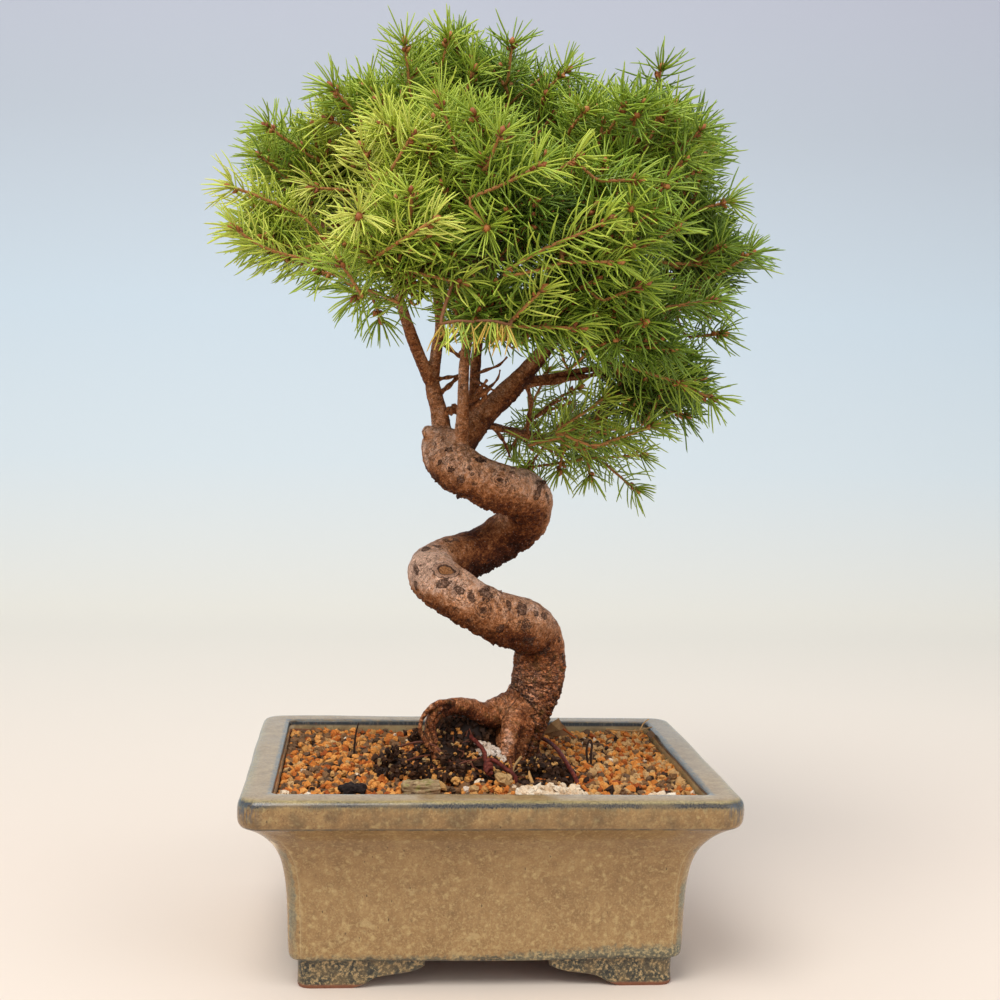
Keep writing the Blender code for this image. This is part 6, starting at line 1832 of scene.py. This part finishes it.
def grow(index, wanted):
    """One clump: its shoots, then a tree of twigs that carries them back to their limb."""
    name, centre, radii, limb, share = CLUMPS[index]
    g = Greens(1000 + index)
    rng = g.rng
    c, rad = np.array(centre, float), np.array(radii, float)
    root = along(LIMBS[limb], share)[:3]
    shoots = []
    for line, tint in heroes[index]:
        dense = catmull(line, 5)
        shoots.append(dict(path=dense, tint=tint, hero=True, length=HERO_LENGTH.get(name, 14.9)))
    tries = 0
    while len(shoots) < wanted + len(heroes[index]) and tries < wanted * 12:
        tries += 1
        u = unit(rng.normal(0, 1, 3))
        outward = unit(c - CROWN_BASE)
        if u @ outward < -0.25 and rng.uniform() < 0.75:
            continue
        shell = rng.choice([1.0, 0.74, 0.45], p=[0.62, 0.26, 0.12])
        tip = c + (rad - 8.5) * u * shell * rng.uniform(0.92, 1.03)
        other = (((tip - CENTRES) / RADII) ** 2).sum(1)
        other[index] = 9
        if other.min() < 0.55 and rng.uniform() < 0.8:
            continue
        d = unit(0.62 * unit(tip - CROWN_BASE) + 0.48 * u + 0.24 * rng.normal(0, 1, 3) + np.array([0, 0, 0.10]))
        long = rng.uniform(17, 31) * (0.8 if shell < 0.6 else 1)
        base = tip - d * long
        seen = to_pixel(np.array([base, tip, tip + d * 7.0]))
        if not inside_outline(seen[1:]).all() or outline_gap(seen).min() < 12 + 5 * rng.uniform():
            continue
        if covers_hero(tip, base):
            continue
        start_dir = unit(0.8 * d + 0.4 * unit(tip - root) + rng.normal(0, 0.12, 3))
        path = hermite(base, start_dir * long, tip, d * long * 0.9, 6)
        # shoots deeper in the clump get darker needles: partly older growth, partly painted shade inside the crown
        tint = shoot_tint_with_painted_light(tip) - 0.14 * (1 - shell) + rng.normal(0, 0.05)
        shoots.append(dict(path=path, tint=float(np.clip(tint, 0.06, 0.95)), hero=False, length=rng.uniform(13.2, 16.0) * SHORT.get(name, 1.0), inner=shell < 0.9))
    for mid, spread, count in FILL.get(name, ()):
        for _ in range(count):
            tip = np.array(mid) + np.array(spread) * rng.uniform(-1, 1, 3)
            d = unit(unit(tip - CROWN_BASE) + 0.35 * rng.normal(0, 1, 3))
            if covers_hero(tip, tip - d * 20):
                continue
            long = rng.uniform(17, 25)
            path = hermite(tip - d * long, unit(d + rng.normal(0, 0.15, 3)) * long, tip, d * long * 0.9, 6)
            # the filling shoots are a little darker, as painted shade inside the crown
            shoots.append(dict(path=path, tint=float(shoot_tint_with_painted_light(tip) - 0.04), hero=False, length=rng.uniform(13.2, 15.5), inner=True))
    # the branchlet from the limb into the clump
    if wanted < 8 and heroes[index]:
        c = np.mean([line[0] for line, _ in heroes[index]], 0)
    toward = unit(c - root)
    reach = np.linalg.norm(c - root)
    main = hermite(root, toward * reach * 0.9, c - toward * rad.min() * 0.15, (toward + np.array([0, 0, 0.2])) * reach * 0.8, max(5, int(reach / 4)))
    pos, parent = [p for p in main], list(range(-1, len(main) - 1))
    lines = [list(range(len(main)))]
    shoots.sort(key=lambda s: np.linalg.norm(s["path"][0] - root))
    for s in shoots:
        b = s["path"][0]
        d = unit(s["path"][1] - b)
        P = np.array(pos)
        gap = b - P
        dist = np.linalg.norm(gap, axis=1)
        bendy = 1 - (gap @ d) / np.maximum(dist, 0.5)
        far = np.linalg.norm(P - root, axis=1) - np.linalg.norm(b - root)
        j = int(np.argmin(dist * (1 + (1.35 if s["hero"] else 0.55) * bendy) + 2.0 * np.maximum(far, 0)))
        ids = [j]
        if dist[j] > 2.5:
            pd = unit(P[j] - P[parent[j]]) if parent[j] >= 0 else unit(gap[j])
            link = hermite(P[j], (unit(gap[j]) + 0.5 * pd) * dist[j] * 0.7, b, d * dist[j] * 0.8, max(3, int(dist[j] / 5) + 2))
            s["link"] = link
            seen = to_pixel(link)
            bare = (seen[:, 0] > 380) & (seen[:, 0] < 610) & (seen[:, 1] > 320)
            if not s["hero"] and (~inside_outline(seen) & ~bare & (outline_gap(seen) > 3)).any():
                s["ids"] = None
                continue
            for p in link[1:-1]:
                pos.append(p)
                parent.append(ids[-1])
                ids.append(len(pos) - 1)
        for p in s["path"]:
            pos.append(p)
            parent.append(ids[-1])
            ids.append(len(pos) - 1)
        s["ids"] = ids
        lines.append(ids)
    shoots = [s for s in shoots if s["ids"] is not None]
    load = np.zeros(len(pos))
    for s in shoots:
        load[s["ids"][-1]] += 1
    for i in range(len(pos) - 1, 0, -1):
        if parent[i] >= 0:
            load[parent[i]] += load[i]
    radius = 0.66 * np.maximum(load, 1) ** 0.26
    P = np.array(pos)
    if name == "front_low":
        for px0, py0, px1, py1, y in ((441, 324, 474, 322, -90), (509, 325, 476, 321, -88)):
            line = catmull(np.array([at(px0, py0, y), at((px0 + px1) / 2, (py0 + py1) / 2 - 2, y - 2), at(px1, py1, y)]), 4)
            near = P[load > 0][int(np.argmin(np.linalg.norm(P[load > 0] - line[0], axis=1)))]
            stem = hermite(near, (line[0] - near) * 0.6 + np.array([0, 0, 4.0]), line[0], (line[1] - line[0]) * 3, 5)
            g.twig(np.concatenate([stem[:-1], line]), np.linspace(0.75, 0.5, len(stem) - 1 + len(line)), old=True)
            k0 = g.n
            for f in rng.uniform(0.0, 1.0, 26):
                b0 = line[int(f * (len(line) - 1))]
                d0 = unit(np.array([[rng.normal(0, 0.55), rng.normal(-0.2, 0.35), -1.0]]))
                g._needles(b0[None], d0, unit(d0 + rng.normal(0, 0.35, (1, 3)) + np.array([[0, 0, -0.25]])), np.array([rng.uniform(6, 14)]), np.array([0.74]), np.array([0.985 if rng.uniform() < 0.5 else rng.uniform(0.6, 0.93)]), 2)
    out = ~inside_outline(to_pixel(P)) & (outline_gap(to_pixel(P)) > 4) & (load > 0)
    if out.any():
        print(name, "outside", [tuple(int(v) for v in to_pixel(q)) for q in P[out]][:12])
    if load[0] > 0:
        last = max(i for i in range(len(main)) if load[i] > 0)
        if last >= 2:
            g.twig(P[: last + 1], radius[: last + 1], old=True)
    for s in shoots:
        ids = s["ids"]
        k = len(s["path"])
        r = radius[ids].copy()
        r[0] = min(r[0], r[1] * 1.2)
        r[-1] *= 0.82
        g.twig(P[ids], r, old=load[ids[1]] > 5 and not s["hero"])
        hero, tint, length = s["hero"], s["tint"], s["length"]
        thick = DENSE.get(name, 1.0)
        inner_one = not hero and s["inner"]
        if hero:
            g.needles(s["path"], 0.0, 0.97, 1.56 * min(1.0, thick * 1.15), length * SHORT.get(name, 1.0), tint, fine=2, burst=15)
        else:
            g.needles(s["path"], 0.0, 0.97, (1.10 if inner_one else 1.20) * thick, length, tint, fine=0 if s["inner"] else 2 if s["path"][-1][1] < 15 else 1, burst=11)
        if "link" in s and len(s["link"]) > 3:
            seen = to_pixel(s["link"])
            if inside_outline(seen).all() and outline_gap(seen).min() > 9:
                # needles along the link are darker: partly older growth, partly painted shade inside the clump
                g.needles(s["link"], 0.15, 1.0, 0.80 * thick, length * 0.85, max(0.05, tint - 0.10), fine=0, spread=(72, 58), tip_burst=False)
        tipd = unit(s["path"][-1] - s["path"][-2])
        g.bud(s["path"][-1] - tipd * 0.3, tipd, r=rng.uniform(1.15, 1.4) * (1.32 if hero else 1), long=rng.uniform(3.4, 4.4))
        if hero or rng.uniform() < 0.45:
            for _ in range(rng.integers(2, 5) if hero else rng.integers(1, 4)):
                off = unit(np.cross(tipd, rng.normal(0, 1, 3)))
                back = s["path"][-1] - tipd * rng.uniform(1.5, 4.0)
                g.bud(back + off * 0.6, unit(tipd * 0.8 + off * 0.8), r=rng.uniform(0.8, 1.15), long=rng.uniform(2.2, 3.2))
        if rng.uniform() < 0.5 and k > 3:
            q = s["path"][1]
            off = unit(np.cross(tipd, rng.normal(0, 1, 3)))
            g.bud(q + off * 0.4, unit(tipd * 0.4 + off), r=0.8, long=1.7)
    return g


# needles: dark to yellow green by tint across, paler to the tip
T = Tree("needles")
uvn = T.node("UVMap", p_uv_map="OFBake")
sep = T.node("SeparateXYZ", Vector=uvn)
tone = T.ramp(sep.outputs[0], (0.0, (0.020, 0.045, 0.006)), (0.25, (0.082, 0.145, 0.014)), (0.5, (0.218, 0.340, 0.030)), (0.72, (0.415, 0.525, 0.054)), (0.88, (0.600, 0.675, 0.095)), (0.935, (0.670, 0.710, 0.140)), (0.965, (0.620, 0.420, 0.070)), (1.0, (0.580, 0.370, 0.060)))
shade = T.ramp(sep.outputs[1], (0.32, (0.55, 0.58, 0.5)), (0.46, (0.9, 0.9, 0.9)), (0.8, (1.02, 1.02, 1.0)), (0.98, (1.15, 1.12, 1.05)))
col = T.mix(1.0, tone, shade, "MULTIPLY")
NEEDLES = T.out(Base_Color=col, Roughness=0.42, Specular_IOR_Level=0.45)

T = Tree("twigs")
uvn = T.node("UVMap", p_uv_map="OFBake")
sep = T.node("SeparateXYZ", Vector=uvn)
base = T.ramp(sep.outputs[0], (0.0, (0.56, 0.255, 0.065)), (0.48, (0.42, 0.160, 0.038)), (0.54, (0.25, 0.095, 0.030)), (1.0, (0.17, 0.070, 0.026)))
grain = T.noise(T.coords(1.0, "UV"), 90.0, 3.0)
col = T.mix(T.ramp(grain, (0.40, 0.0), (0.66, 0.75)), base, (0.15, 0.055, 0.022))
TWIGS = T.out(Base_Color=col, Roughness=0.75)

T = Tree("buds")
uvn = T.node("UVMap", p_uv_map="OFBake")
sep = T.node("SeparateXYZ", Vector=uvn)
base = T.ramp(sep.outputs[0], (0.0, (0.27, 0.070, 0.018)), (0.5, (0.38, 0.120, 0.026)), (1.0, (0.50, 0.205, 0.055)))
# painted shade and light along each bud: dark at its base, paler at its tip
bud_painted_shade = T.ramp(sep.outputs[1], (0.22, 0.35), (0.25, 0.9), (0.285, 1.15))
BUDS = T.out(Base_Color=T.mix(1.0, base, bud_painted_shade, "MULTIPLY"), Roughness=0.6)

WANTED = {"rear_left": 50, "rear_right": 50, "rear_top": 44, "rear_middle": 42, "rear_right_low": 14, "left_low": 0, "far_left": 20, "front_low": 28, "right_low": 32}
total = 0
for i, spec in enumerate(CLUMPS):
    greens = grow(i, WANTED.get(spec[0], 38))
    mesh, tris = greens.build("shoots_" + spec[0])
    total += tris
    piece = add("shoots_" + spec[0], mesh, (NEEDLES, TWIGS, BUDS))
    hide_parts("foliage_" + spec[0])
    print("shoots", spec[0], tris)
print("foliage triangles", total)


# ================================================================ floor, backdrop and light
def sweep_height(y):
    """A floor that turns up behind the pot into a plain wall."""
    start, r = 900.0, 700.0
    if y < start:
        return 0.0
    if y < start + r:
        return r - math.sqrt(max(0.0, r * r - (y - start) ** 2))
    return r


ys = [-1600, -800, -300, 0, 300, 600, 900] + [900 + 700 * math.sin(math.radians(a)) for a in range(5, 91, 5)]
zs = [0.0] * 7 + [700 - 700 * math.cos(math.radians(a)) for a in range(5, 91, 5)]
ys += [1600, 1600]
zs += [1400, 2600]
verts, faces = [], []
for x in (-2600, 2600):
    for y, z in zip(ys, zs):
        verts.append((x, y, z))
n = len(ys)
for i in range(n - 1):
    faces.append((i, n + i, n + i + 1, i + 1))
backdrop = add("backdrop", new_mesh("backdrop", verts, faces), body=None)
T = Tree("paper")
xyz = T.node("SeparateXYZ", Vector=T.coords(1.0))
up_m = T.math("ADD", T.node("MapRange", p_clamp=True, Value=xyz.outputs[1], From_Min=100.0, From_Max=1500.0, To_Max=0.45).outputs[0], T.node("MapRange", p_clamp=True, Value=xyz.outputs[2], From_Min=0.0, From_Max=900.0, To_Max=0.55).outputs[0])
tone = T.ramp(up_m, (0.0, (0.80, 0.70, 0.60)), (0.30, (0.785, 0.76, 0.67)), (0.5, (0.643, 0.715, 0.738)), (0.68, (0.575, 0.670, 0.735)), (0.85, (0.51, 0.565, 0.63)), (1.0, (0.493, 0.515, 0.60)))
PAPER = T.out(Base_Color=tone, Roughness=0.95, Specular_IOR_Level=0.1)
backdrop.data.materials.append(PAPER)
world = bpy.data.worlds.new("world")
world.use_nodes = True
scene.world = world
bg = world.node_tree.nodes["Background"]
bg.inputs[0].default_value = (0.95, 0.95, 1.0, 1)
bg.inputs[1].default_value = 0.58


def light(name, where, to, size, power, colour=(1, 1, 1)):
    data = bpy.data.lights.new(name, "AREA")
    data.size = size
    data.energy = power
    data.color = colour
    obj = bpy.data.objects.new(name, data)
    obj.location = where
    obj.rotation_euler = (Vector(to) - Vector(where)).to_track_quat("-Z", "Y").to_euler()
    scene.collection.objects.link(obj)


light("key", (-0.62, -1.05, 1.9), (0, 0, 0.25), 1.15, 34, (1.0, 0.985, 0.96))
light("fill", (1.5, -1.2, 0.9), (0, 0, 0.22), 1.6, 9.5, (0.97, 0.98, 1.0))
light("wall", (0.0, 0.2, 2.4), (0, 1.5, 0.6), 1.5, 11, (1.0, 1.0, 1.0))

scene.view_settings.view_transform = "Standard"
